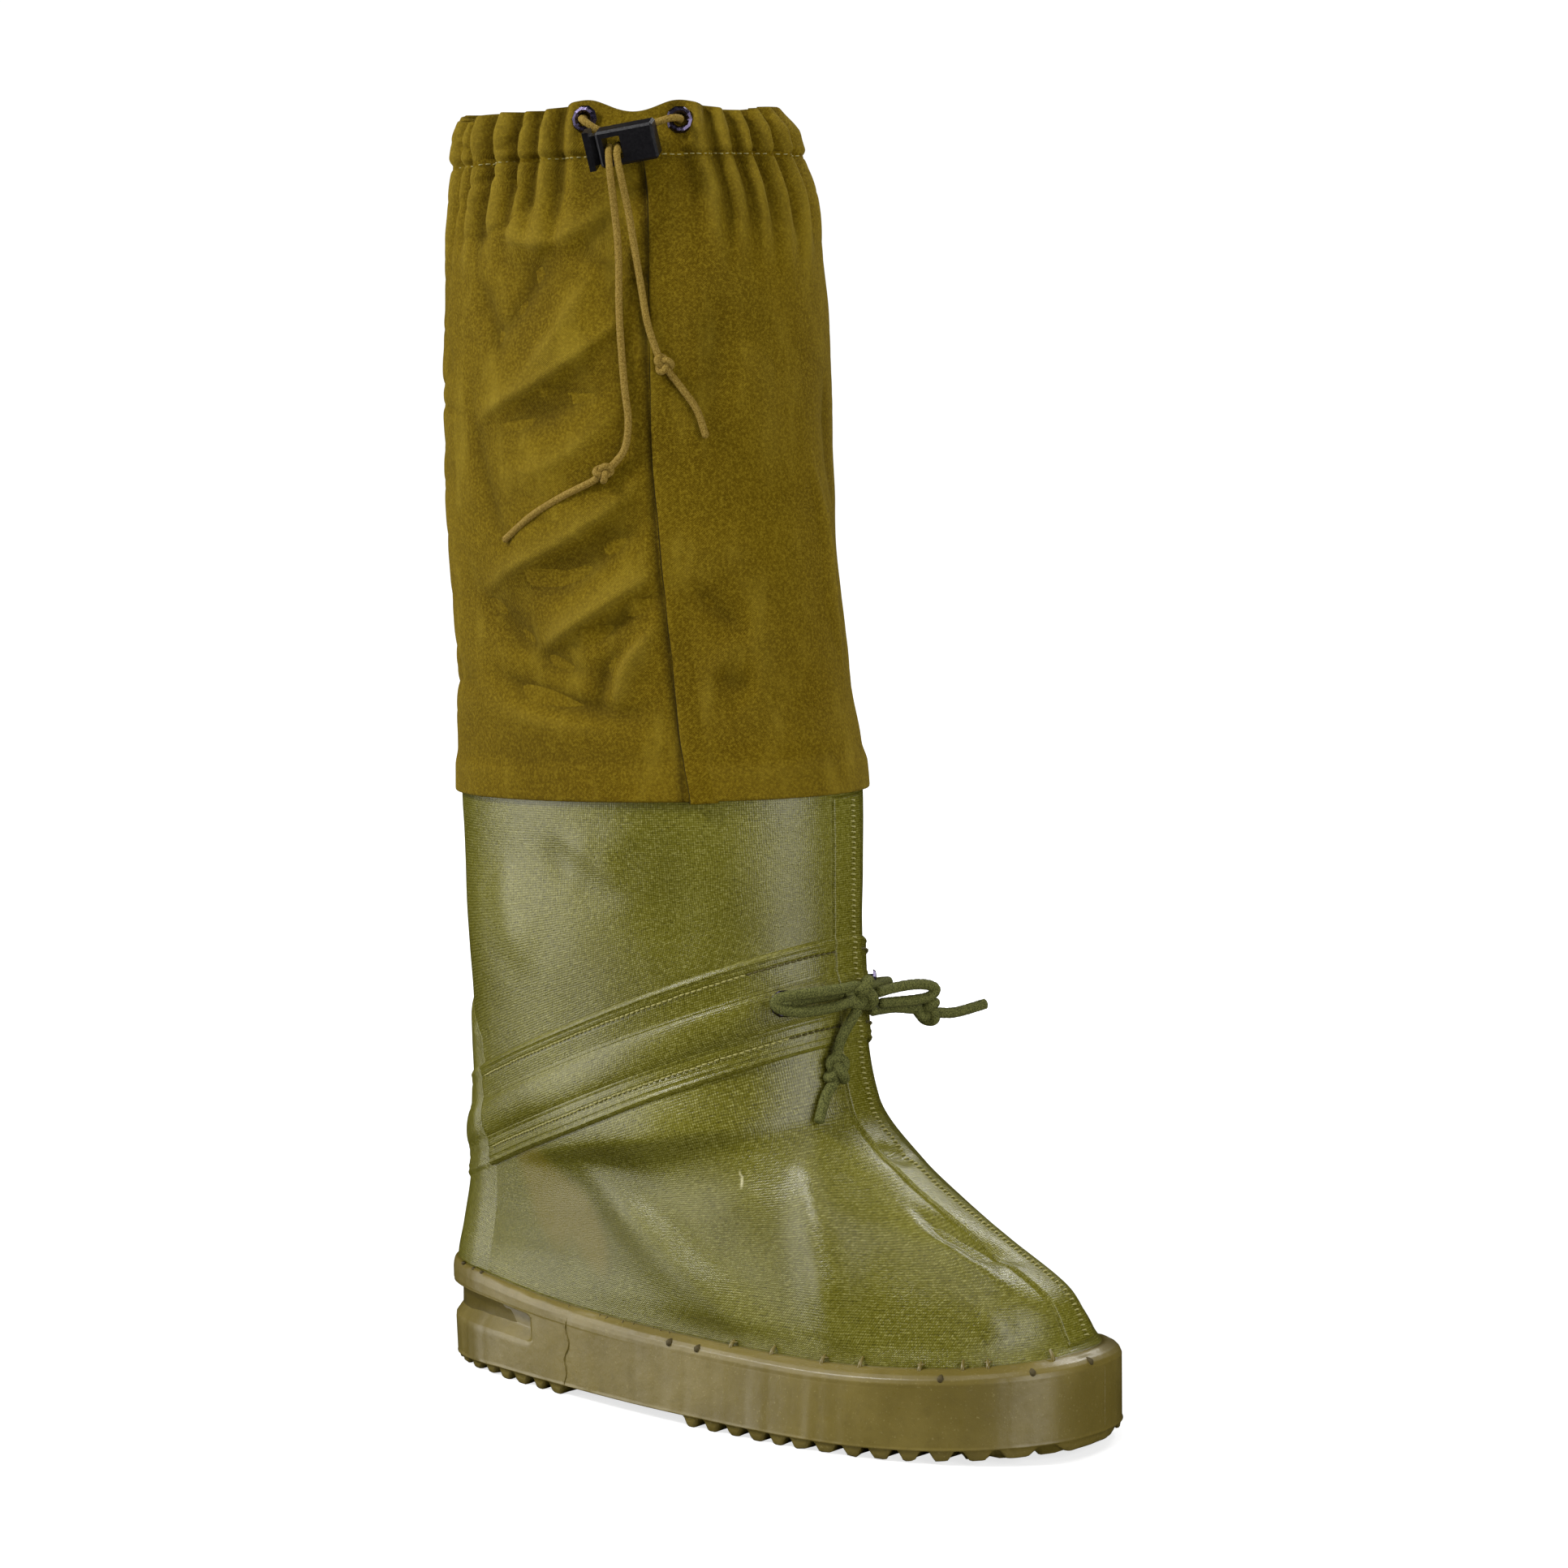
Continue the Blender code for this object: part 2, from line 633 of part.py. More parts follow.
def leg_frame(z, turn, lift):
    """A frame that looks out from the leg's face. turn is in degrees."""
    z, phi = np.array([z]), np.radians([turn])
    return place_frame(offset_face(z, phi, lift)[0], leg_normal(z, phi)[0])


def revolve(name, profile, finish, steps=10):
    """A turned ring about +Z from (radius, height) points round its section."""
    rings = []
    for i in range(steps):
        turn = 2 * math.pi * i / steps
        rings.append([(radius * math.cos(turn), radius * math.sin(turn), height) for radius, height in profile])
    return loft(name, rings, finish)


def eyelet(name, frame, barrel, finish):
    """A metal eyelet whose flange lies GAP over the frame's plane, and whose barrel goes down through it."""
    profile = (
        (EYELET_BORE, -barrel),
        (EYELET_BORE, 0.0008),
        (EYELET_BORE + EYELET_EDGE, 0.0016),
        (EYELET_RADIUS - EYELET_EDGE, 0.0014),
        (EYELET_RADIUS, GAP),
        (EYELET_BORE + EYELET_EDGE, GAP),
        (EYELET_BORE + EYELET_EDGE, -barrel),
    )
    made = revolve(name, profile, finish)
    made.matrix_world = frame


def bore(target, frame, depth):
    """A round hole for an eyelet's barrel, down from the frame's plane."""
    over = 0.004
    radius = EYELET_BORE + EYELET_EDGE + GAP
    mesh = bmesh.new()
    middle = Matrix.Translation((0, 0, (over - depth) / 2))
    bmesh.ops.create_cone(
        mesh, cap_ends=True, segments=12, radius1=radius, radius2=radius, depth=depth + over, matrix=middle
    )
    tool = add_mesh("guide_bore", mesh, bpy.data.materials["eyelet metal"])
    tool.matrix_world = frame
    cut(target, tool)


def box(name, size, centre, frame, finish):
    mesh = bmesh.new()
    bmesh.ops.create_cube(mesh, size=1.0, matrix=Matrix.Translation(centre) @ Matrix.Diagonal((*size, 1)))
    made = add_mesh(name, mesh, finish)
    made.matrix_world = frame
    return made


def lock_frame():
    """The cord lock's middle. Its length runs along X, to the front."""
    z, phi = np.array([LOCK_HEIGHT]), np.array([LOCK_TURN])
    out = Vector(flat(leg_normal(z, phi))[0])
    across = Vector((0, 0, 1)).cross(out)
    up = Vector((0, 0, math.cos(LOCK_ROLL))) - across * math.sin(LOCK_ROLL)
    point = leg_point(z, phi)[0] + np.array(out) * LOCK_LIFT
    return place_frame(point, out * math.cos(LOCK_NOD) + up * math.sin(LOCK_NOD), up)


def make_cord_lock(finish):
    """The barrel with a slot for the cord, and the plunger's head with the neck that shows behind it."""
    frame = lock_frame()
    body = box("cord_lock_body", (LOCK_LENGTH, LOCK_WIDTH, LOCK_DEPTH), (0, 0, 0), frame, finish)
    edges = body.modifiers.new("Edges", "BEVEL")
    edges.width = 0.0010
    edges.segments = 1
    cut(body, box("guide_slot", (0.0074, 0.0094, 3 * LOCK_DEPTH), (-0.0058, 0, 0), frame, finish))
    end = -LOCK_LENGTH / 2 - GAP
    neck, head = 0.0022, 0.0026
    neck_size = (neck + 0.0010, 0.80 * LOCK_WIDTH, 0.60 * LOCK_DEPTH)
    head_size = (head, 1.06 * LOCK_WIDTH, 0.86 * LOCK_DEPTH)
    plunger = box("cord_lock_plunger", head_size, (end - neck - head / 2, 0, 0), frame, finish)
    tool = box("guide_neck", neck_size, (end - neck_size[0] / 2, 0, 0), frame, finish)
    unite(plunger, tool)


def curve_points(route, step):
    """Points a step apart on a smooth curve through the route's points."""
    route = np.array(route, float)
    padded = np.vstack((2 * route[0] - route[1], route, 2 * route[-1] - route[-2]))
    fine = []
    for i in range(1, len(padded) - 2):
        before, start, end, after = padded[i - 1 : i + 3]
        for t in np.linspace(0, 1, 24, endpoint=False):
            straight = 2 * start + (end - before) * t
            bend = (2 * before - 5 * start + 4 * end - after) * t**2
            fine.append((straight + bend + (3 * start - before - 3 * end + after) * t**3) / 2)
    fine = np.array(fine + [route[-1]])
    done = np.concatenate(([0], np.cumsum(np.linalg.norm(np.diff(fine, axis=0), axis=1))))
    places = np.linspace(0, done[-1], max(2, round(done[-1] / step)) + 1)
    return np.stack([np.interp(places, done, fine[:, axis]) for axis in range(3)], axis=-1)


def cord(name, route, thick, finish, step=2.4):
    """A round cord along a route."""
    data = bpy.data.curves.new(name, "CURVE")
    data.dimensions = "3D"
    data.bevel_depth = thick / 2
    data.bevel_resolution = 2
    data.use_fill_caps = True
    points = curve_points(route, step * thick)
    line = data.splines.new("POLY")
    line.points.add(len(points) - 1)
    for place, point in zip(points, line.points):
        point.co = (*map(float, place), 1)
    data.materials.append(finish)
    bpy.context.collection.objects.link(bpy.data.objects.new(name, data))


def knot(name, centre, along, size, finish):
    """A tight knot: a ball with a waist across it. size is across, across and along."""
    mesh = bmesh.new()
    bmesh.ops.create_uvsphere(mesh, u_segments=8, v_segments=6, radius=0.5)
    for vertex in mesh.verts:
        waist = 1 - 0.16 * math.exp(-((vertex.co.z / 0.12) ** 2))
        vertex.co = (vertex.co.x * waist * size[0], vertex.co.y * waist * size[1], vertex.co.z * size[2])
    made = add_mesh(name, mesh, finish)
    made.matrix_world = place_frame(centre, along, (0.31, 0.2, 0.93))


# Routes along the leg: height, turn about the leg in degrees, and distance from its face. First the drawcord from the
# back eyelet behind the lock to the front one, then its two hanging ends.
DRAWCORD_ROUTE = (
    (0.5368, -70.5, 0.0006),
    (0.5367, -70.4, 0.0056),
    (0.5350, -68.4, 0.0092),
    (0.5306, -62.6, 0.0080),
    (0.5319, -54.4, 0.0078),
    (0.5336, -46.6, 0.0086),
    (0.5355, -40.6, 0.0098),
    (0.5362, -37.2, 0.0062),
    (0.5362, -37.0, 0.0006),
)
LONG_END = (
    (0.5233, -59.9, 0.0124),
    (0.5207, -59.8, 0.0149),
    (0.5162, -59.6, 0.0174),
    (0.5090, -59.8, 0.0160),
    (0.4980, -60.2, 0.0104),
    (0.4820, -60.0, 0.0060),
    (0.4560, -60.0, 0.0042),
    (0.4300, -59.0, 0.0038),
    (0.4150, -58.3, 0.0037),
    (0.4040, -59.5, 0.0037),
    (0.3978, -62.5, 0.0038),
)
LONG_KNOT = (0.3935, -66.0, 0.0045)
LONG_TAIL = (
    (0.3898, -69.6, 0.0040),
    (0.3835, -79.0, 0.0036),
    (0.3750, -90.0, 0.0036),
    (0.3640, -100.5, 0.0036),
)
SHORT_END = (
    (0.5239, -57.2, 0.0123),
    (0.5212, -57.2, 0.0148),
    (0.5166, -57.3, 0.0174),
    (0.5090, -57.0, 0.0155),
    (0.4980, -56.4, 0.0104),
    (0.4850, -55.5, 0.0064),
    (0.4700, -54.0, 0.0044),
    (0.4540, -52.0, 0.0044),
    (0.4420, -49.3, 0.0042),
)
SHORT_KNOT = (0.4375, -47.6, 0.0045)
SHORT_TAIL = (
    (0.4338, -45.8, 0.0041),
    (0.4275, -42.5, 0.0037),
    (0.4190, -38.5, 0.0036),
    (0.4075, -36.0, 0.0036),
)

# The ankle's cord: a bar from each eyelet to the bow's knot, the loop that lies over the outer eyelet, and the end
# that hangs down the front
OUTER_BAR = (
    (0.1762, -27.0, 0.0024),
    (0.1762, -27.0, 0.0060),
    (0.1768, -25.2, 0.0088),
    (0.1780, -19.5, 0.0082),
    (0.1786, -13.0, 0.0074),
    (0.1788, -6.2, 0.0074),
)
INNER_BAR = (
    (0.1780, 27.0, 0.0024),
    (0.1780, 27.0, 0.0066),
    (0.1784, 25.2, 0.0098),
    (0.1790, 19.5, 0.0090),
    (0.1790, 13.0, 0.0076),
    (0.1786, 6.0, 0.0070),
)
BOW_KNOT = (0.1775, 0.5, 0.0096)
OUTER_LOOP = (
    (0.1814, -4.9, 0.0110),
    (0.1814, -9.0, 0.0122),
    (0.1812, -15.0, 0.0130),
    (0.1809, -21.5, 0.0136),
    (0.1805, -26.5, 0.0141),
    (0.1797, -29.4, 0.0141),
    (0.1778, -30.7, 0.0140),
    (0.1756, -29.8, 0.0140),
    (0.1742, -27.2, 0.0142),
    (0.1734, -23.0, 0.0138),
    (0.1738, -15.5, 0.0128),
    (0.1750, -8.6, 0.0120),
    (0.1760, -4.6, 0.0122),
)
DOWN_END = (
    (0.1722, -1.8, 0.0100),
    (0.1690, -3.6, 0.0092),
    (0.1640, -6.0, 0.0070),
    (0.1575, -8.8, 0.0052),
    (0.1522, -10.0, 0.0044),
)
DOWN_KNOT = (0.1472, -10.8, 0.0046)
DOWN_TIP = (
    (0.1426, -12.4, 0.0038),
    (0.1370, -17.0, 0.0031),
    (0.1256, -24.0, 0.0030),
)

# World points: the bow's other loop and end stand off the leg's inner side
INNER_LOOP = (
    (0.1722, 0.0082, 0.1784),
    (0.1734, 0.0180, 0.1794),
    (0.1752, 0.0290, 0.1797),
    (0.1764, 0.0375, 0.1786),
    (0.1768, 0.0418, 0.1762),
    (0.1762, 0.0382, 0.1735),
    (0.1748, 0.0300, 0.1730),
    (0.1734, 0.0190, 0.1734),
    (0.1728, 0.0096, 0.1738),
)
SIDE_END = (
    (0.1692, 0.0085, 0.1704),
    (0.1676, 0.0160, 0.1700),
    (0.1688, 0.0250, 0.1698),
    (0.1722, 0.0351, 0.1682),
)
SIDE_KNOT = (0.1740, 0.0398, 0.1670)
SIDE_TIP = (
    (0.1758, 0.0446, 0.1660),
    (0.1800, 0.0520, 0.1657),
    (0.1865, 0.0650, 0.1686),
)


def leg_route(rows):
    """World points of a route given by height, turn and lift."""
    table = np.array(rows, float)
    return offset_face(table[:, 0], np.radians(table[:, 1]), table[:, 2])


def make_drawcord(finish):
    cord("drawcord", leg_route(DRAWCORD_ROUTE), DRAWCORD, finish, step=1.4)
    ends = {"long": (LONG_END, LONG_KNOT, LONG_TAIL), "short": (SHORT_END, SHORT_KNOT, SHORT_TAIL)}
    for name, (end, middle, tail) in ends.items():
        before, after = leg_route(end), leg_route(tail)
        cord(f"drawcord_{name}_end", before, DRAWCORD, finish, step=2.2)
        size = (1.9 * DRAWCORD, 1.7 * DRAWCORD, 1.9 * DRAWCORD)
        knot(f"drawcord_{name}_knot", leg_route([middle])[0], after[0] - before[-1], size, finish)
        cord(f"drawcord_{name}_tail", after, DRAWCORD, finish)


def make_bow(finish):
    cord("ankle_cord_outer", leg_route(OUTER_BAR), ANKLE_CORD, finish, step=0.7)
    cord("ankle_cord_inner", leg_route(INNER_BAR), ANKLE_CORD, finish, step=0.7)
    knot("bow_knot", leg_route([BOW_KNOT])[0], (0.25, 0.85, -0.42), (0.0085, 0.0095, 0.0160), finish)
    cord("bow_loop_outer", leg_route(OUTER_LOOP), ANKLE_CORD, finish, step=1.0)
    cord("bow_loop_inner", INNER_LOOP, ANKLE_CORD, finish, step=1.0)
    small = (1.75 * ANKLE_CORD, 1.55 * ANKLE_CORD, 2.0 * ANKLE_CORD)
    down, tip = leg_route(DOWN_END), leg_route(DOWN_TIP)
    cord("bow_end_down", down, ANKLE_CORD, finish)
    knot("bow_end_down_knot", leg_route([DOWN_KNOT])[0], tip[0] - down[-1], small, finish)
    cord("bow_end_down_tip", tip, ANKLE_CORD, finish)
    cord("bow_end_side", SIDE_END, ANKLE_CORD, finish)
    knot("bow_end_side_knot", SIDE_KNOT, np.subtract(SIDE_TIP[0], SIDE_END[-1]), small, finish)
    cord("bow_end_side_tip", SIDE_TIP, ANKLE_CORD, finish)


def make_eyelets(shaft, bands, finish):
    """Two eyelets through the top tunnel, and one in the ankle band on each side of the front."""
    cloth = GAP + SHAFT_WALL + TUNNEL_LIFT
    for name, (z, turn) in TOP_EYELETS.items():
        frame = leg_frame(z, turn, cloth)
        eyelet(f"top_eyelet_{name}", frame, SHAFT_WALL + TUNNEL_LIFT, finish)
        bore(shaft, frame, 0.008)
    tunnel = OVERLAY_GAP + 1.1 * BAND_TUNNEL
    for name, (z, turn) in ANKLE_EYELETS.items():
        frame = leg_frame(z, turn, tunnel)
        eyelet(f"ankle_eyelet_{name}", frame, 0.0024, finish)
        bore(bands[name], frame, 0.0030)


def main():
    clear_scene()
    rubber = material("sole rubber", (0.205, 0.165, 0.060), 0.45)
    coated = material("coated fabric", (0.150, 0.165, 0.045), 0.32)
    cotton = material("cotton", (0.150, 0.110, 0.012), 0.85)
    felt = material("insole", (0.100, 0.085, 0.040), 0.90)
    metal = material("eyelet metal", (0.12, 0.11, 0.14), 0.30, 1.0)
    plastic = material("lock plastic", (0.022, 0.020, 0.024), 0.38)
    elastic = material("drawcord", (0.30, 0.20, 0.05), 0.70)
    lace = material("ankle cord", (0.060, 0.070, 0.022), 0.75)

    make_outsole(rubber)
    make_upper(coated)
    make_insole(felt)
    make_front_tape(coated)
    make_heel_counter(coated)
    bands = {"inner": make_ankle_band(1, coated), "outer": make_ankle_band(-1, coated)}
    shaft = make_shaft(cotton)
    make_side_seam(cotton)
    make_eyelets(shaft, bands, metal)
    make_cord_lock(plastic)
    make_drawcord(elastic)
    make_bow(lace)


main()
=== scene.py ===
"""Looks of a knee-high pull-on overshoe for the right foot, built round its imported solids.

Metres. +X runs to the toe, +Y to the wearer's other foot, +Z up. The origin is on the floor under the heel.
"""

import itertools
import json
import math

import bpy
import numpy as np
from mathutils import Matrix, Vector

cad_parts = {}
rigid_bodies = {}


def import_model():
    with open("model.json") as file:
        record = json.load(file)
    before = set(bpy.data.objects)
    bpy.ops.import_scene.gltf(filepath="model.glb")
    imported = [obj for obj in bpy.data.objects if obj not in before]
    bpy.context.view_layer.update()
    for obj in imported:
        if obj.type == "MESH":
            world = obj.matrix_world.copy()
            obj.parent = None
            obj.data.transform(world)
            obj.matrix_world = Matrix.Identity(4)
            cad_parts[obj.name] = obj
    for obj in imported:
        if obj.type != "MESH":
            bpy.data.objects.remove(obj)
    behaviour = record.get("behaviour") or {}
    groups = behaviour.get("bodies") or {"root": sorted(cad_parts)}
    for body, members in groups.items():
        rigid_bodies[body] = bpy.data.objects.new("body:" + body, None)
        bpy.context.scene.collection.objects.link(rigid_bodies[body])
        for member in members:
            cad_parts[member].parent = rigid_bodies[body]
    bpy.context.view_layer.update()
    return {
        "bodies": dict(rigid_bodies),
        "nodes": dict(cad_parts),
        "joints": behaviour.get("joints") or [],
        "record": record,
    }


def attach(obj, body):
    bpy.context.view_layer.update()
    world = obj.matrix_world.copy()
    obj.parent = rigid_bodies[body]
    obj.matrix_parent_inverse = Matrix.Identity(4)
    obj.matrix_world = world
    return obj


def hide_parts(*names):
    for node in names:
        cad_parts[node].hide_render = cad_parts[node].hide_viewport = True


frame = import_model()

# ---- the solids' own sizes ----
GAP = 0.0003  # between pieces that lie on each other
OVERLAY_GAP = 0.0005  # under overlays whose facets cross the boot's
AXIS_X = 0.060  # the leg's axis, where the height of a sloping ring is measured
LUG_DEPTH = 0.0045
LUG_PITCH = 0.0113
HEEL_LUGS = range(-4, 5)  # bars counted from the one under the middle of the heel
FOREFOOT_LUGS = 14
FIRST_FOREFOOT_LUG = 0.1274
TOE_SPRING = 0.0046
SPRING_START = 0.190
SPRING_END = 0.280
FOOTBED = 0.0125
RIM_LIP = 0.0020  # thickness of the side wall's top edge
HEEL_DROP = 0.0022  # how much lower the side wall reaches round the back of the heel
GROOVE_END = 0.031  # x where the groove ends on each side
SHAFT_WALL = 0.0012
HEM = 0.2565  # lower edge of the shaft
HEM_HEIGHT = 0.0160
HEM_STEP = 0.0012  # how far the hem stands out from the shaft
SHAFT_SLOPE = 0.047
TUNNEL_SEAM = 0.5215
SHAFT_TOP = 0.5425
TUNNEL_LIFT = 0.0016  # how far the drawcord's tunnel stands out
TAPE_SHIFT = 0.006  # the front seam runs a little to the inner side
TAPE_HALF = 0.010
TAPE_THICK = 0.0008
COUNTER_TURN = math.radians(43)  # half the turn that the heel counter covers
BAND_SLOPE = 0.40
BAND_FLANGE = 0.0009
BAND_TUNNEL = 0.0028
SEAM_TURN = math.radians(-52)
DRAWCORD = 0.0030
ANKLE_CORD = 0.0045

# Rim of the sole's side wall along the foot
RIM_COLUMNS = ("x", "rim", "bulge", "tread")
RIM = (
    (-0.045, 0.0450, 0.0033, 0.0012),
    (-0.010, 0.0440, 0.0037, 0.0028),
    (0.045, 0.0400, 0.0052, 0.0034),
    (0.110, 0.0370, 0.0070, 0.0070),
    (0.180, 0.0355, 0.0080, 0.0102),
    (0.240, 0.0380, 0.0085, 0.0092),
    (0.290, 0.0436, 0.0083, 0.0085),
)

# Face that boot and shaft lie on, one row a level
LEG_COLUMNS = ("z", "back", "front", "widest", "half", "back_power", "front_power", "toe_in")
LEG = (
    (0.000, -0.0410, 0.2760, 0.177, 0.0520, 3.20, 2.40, 0.014),
    (0.035, -0.0430, 0.2770, 0.177, 0.0525, 3.20, 2.40, 0.014),
    (0.045, -0.0430, 0.2700, 0.172, 0.0525, 3.10, 2.30, 0.014),
    (0.060, -0.0407, 0.2635, 0.158, 0.0515, 2.90, 2.10, 0.012),
    (0.080, -0.0388, 0.2350, 0.135, 0.0505, 2.60, 2.05, 0.009),
    (0.105, -0.0375, 0.1945, 0.110, 0.0520, 2.40, 2.00, 0.006),
    (0.130, -0.0350, 0.1688, 0.088, 0.0550, 2.30, 2.00, 0.003),
    (0.160, -0.0352, 0.1625, 0.072, 0.0580, 2.15, 2.00, 0.001),
    (0.200, -0.0380, 0.1590, 0.064, 0.0620, 2.05, 2.00, 0.000),
    (0.255, -0.0395, 0.1585, 0.060, 0.0645, 2.00, 2.00, 0.000),
    (0.310, -0.0395, 0.1490, 0.057, 0.0650, 2.00, 2.00, 0.000),
    (0.370, -0.0440, 0.1395, 0.052, 0.0665, 2.00, 2.00, 0.000),
    (0.430, -0.0445, 0.1360, 0.049, 0.0675, 2.00, 2.00, 0.000),
    (0.480, -0.0445, 0.1335, 0.047, 0.0645, 2.00, 2.00, 0.000),
    (0.505, -0.0388, 0.1285, 0.046, 0.0605, 2.00, 2.00, 0.000),
    (0.530, -0.0338, 0.1170, 0.045, 0.0565, 2.00, 2.00, 0.000),
    (0.545, -0.0335, 0.1140, 0.044, 0.0550, 2.00, 2.00, 0.000),
)

# Rings of the boot above the sole's rim: height at the leg's axis, slope to the front
BOOT_RINGS = (
    (0.0600, 0.03), (0.0710, 0.09), (0.0840, 0.17), (0.1000, 0.28), (0.1170, BAND_SLOPE),
    (0.1295, BAND_SLOPE), (0.1380, BAND_SLOPE), (0.1465, BAND_SLOPE), (0.1615, BAND_SLOPE),
    (0.1800, 0.33), (0.2020, 0.22), (0.2240, 0.12), (0.2450, SHAFT_SLOPE), (0.2565, SHAFT_SLOPE),
    (0.2680, SHAFT_SLOPE), (0.2760, SHAFT_SLOPE),
)

# How the top edge rises and falls: turn in degrees, rise, half width in degrees
TOP_EDGE = (
    (-37.0, 0.0028, 9.0), (-54.0, -0.0024, 11.0), (-70.5, 0.0030, 9.0), (-98.0, -0.0014, 16.0),
    (-132.0, -0.0042, 15.0), (-12.0, -0.0014, 10.0), (22.0, 0.0012, 12.0), (60.0, -0.0030, 20.0),
    (110.0, -0.0014, 24.0), (165.0, 0.0010, 18.0),
)


def turned(phi, start):
    """Turns counted from a start, between half a turn back and half a turn ahead."""
    return (phi - start + math.pi) % (2 * math.pi) - math.pi


def run_along(points):
    """Distance from the first of a row of points to each of them, along the row."""
    return np.concatenate(([0], np.cumsum(np.linalg.norm(np.diff(points, axis=0), axis=1))))


def in_steps(*stretches):
    """Values along stretches that each give a start, an end and a count."""
    return np.concatenate([np.linspace(*stretch) for stretch in stretches])


def column(table, columns, name, at):
    """A column of a table at a value of its first column, on a smooth curve that never overshoots a row."""
    rows = np.array(table, float)
    x, y = rows[:, 0], rows[:, columns.index(name)]
    step = np.diff(x)
    rise = np.diff(y) / step
    slope = np.concatenate(([rise[0]], np.zeros(len(x) - 2), [rise[-1]]))
    for i in range(1, len(x) - 1):
        if rise[i - 1] * rise[i] > 0:
            slope[i] = 2 * rise[i - 1] * rise[i] / (rise[i - 1] + rise[i])
    at = np.clip(np.asarray(at, float), x[0], x[-1])
    i = np.clip(np.searchsorted(x, at) - 1, 0, len(step) - 1)
    t = (at - x[i]) / step[i]
    low = y[i] * (1 + 2 * t) * (1 - t) ** 2 + slope[i] * step[i] * t * (1 - t) ** 2
    high = y[i + 1] * t * t * (3 - 2 * t) - slope[i + 1] * step[i] * t * t * (1 - t)
    return low + high


def rim_value(name, x):
    return column(RIM, RIM_COLUMNS, name, x)


def spring(x):
    """How far the sole lifts off the floor towards the toe."""
    return TOE_SPRING * np.clip((x - SPRING_START) / (SPRING_END - SPRING_START), 0, 1.2) ** 2


def leg_section(z, phi):
    """Points of the leg's face at heights z. phi is 0 at the front and grows towards the other foot."""
    value = {name: column(LEG, LEG_COLUMNS, name, z) for name in LEG_COLUMNS[1:]}
    c, s = np.cos(phi), np.sin(phi)
    power = np.where(c >= 0, value["front_power"], value["back_power"])
    reach = np.where(c >= 0, value["front"] - value["widest"], value["widest"] - value["back"])
    x = value["widest"] + np.sign(c) * reach * np.abs(c) ** (2 / power)
    y = value["half"] * np.sign(s) * np.abs(s) ** (2 / power)
    return x, y + value["toe_in"] * np.clip((x - 0.06) / 0.2, 0, 1) ** 2


def leg_point(z, phi):
    return np.stack((*leg_section(z, phi), z), axis=-1)


def leg_normal(z, phi):
    """Outward unit normals of the leg's face."""
    turn, rise = 0.03, 0.002
    along = leg_point(z, phi + turn) - leg_point(z, phi - turn)
    up = leg_point(z + rise, phi) - leg_point(z - rise, phi)
    normal = np.cross(along, up)
    return normal / np.linalg.norm(normal, axis=-1, keepdims=True)


def flat(normal):
    """Normals turned level."""
    level = normal * (1, 1, 0)
    return level / np.linalg.norm(level, axis=-1, keepdims=True)


def ring_heights(height_at, phi):
    """Heights of a ring whose height depends on x."""
    z = np.full_like(phi, 0.1)
    for _ in range(30):
        z = 0.5 * z + 0.5 * height_at(leg_section(z, phi)[0])
    return z


def slope_ring(height, slope, phi):
    return ring_heights(lambda x: height + slope * (x - AXIS_X), phi)


def footbed(x):
    return FOOTBED + 0.8 * spring(x)


def wall_ring(share, phi):
    """Heights between the footbed, share 0, and the rim, share 1."""
    return ring_heights(lambda x: footbed(x) + share * (rim_value("rim", x) - footbed(x)), phi)


def offset_wall(z, phi, lift):
    """Points of a level stretch of wall, moved level."""
    return leg_point(z, phi) + flat(leg_normal(z, phi)) * np.asarray(lift)[..., None]


def offset_face(z, phi, lift):
    return leg_point(z, phi) + leg_normal(z, phi) * np.asarray(lift)[..., None]


def boot_levels(phi):
    """Heights of every ring of the boot's outer face, from the footbed up."""
    low = [wall_ring(share, phi) for share in (0.0, 0.5, 1.0)]
    over_rim = ring_heights(lambda x: rim_value("rim", x) + 0.007, phi)
    return low + [over_rim] + [slope_ring(height, slope, phi) for height, slope in BOOT_RINGS]


def top_edge(phi):
    """How far the top edge rises at a turn."""
    rise = 0
    for turn, height, width in TOP_EDGE:
        away = turned(phi, math.radians(turn))
        rise = rise + height * np.exp(-((away / math.radians(width)) ** 2))
    return rise


def place_frame(point, out, up_hint=(0, 0, 1)):
    """A matrix whose +Z looks along out, and +Y up."""
    out = Vector(out).normalized()
    across = Vector(up_hint).cross(out).normalized()
    up = out.cross(across)
    frame = Matrix((across, up, out)).transposed().to_4x4()
    frame.translation = Vector(point)
    return frame


def curve_points(route, step):
    """Points a step apart on a smooth curve through the route's points."""
    route = np.array(route, float)
    padded = np.vstack((2 * route[0] - route[1], route, 2 * route[-1] - route[-2]))
    fine = []
    for i in range(1, len(padded) - 2):
        before, start, end, after = padded[i - 1 : i + 3]
        for t in np.linspace(0, 1, 24, endpoint=False):
            straight = 2 * start + (end - before) * t
            bend = (2 * before - 5 * start + 4 * end - after) * t**2
            fine.append((straight + bend + (3 * start - before - 3 * end + after) * t**3) / 2)
    fine = np.array(fine + [route[-1]])
    done = run_along(fine)
    places = np.linspace(0, done[-1], max(2, round(done[-1] / step)) + 1)
    return np.stack([np.interp(places, done, fine[:, axis]) for axis in range(3)], axis=-1)


def leg_route(rows):
    """World points of a route given by height, turn and lift."""
    table = np.array(rows, float)
    return offset_face(table[:, 0], np.radians(table[:, 1]), table[:, 2])


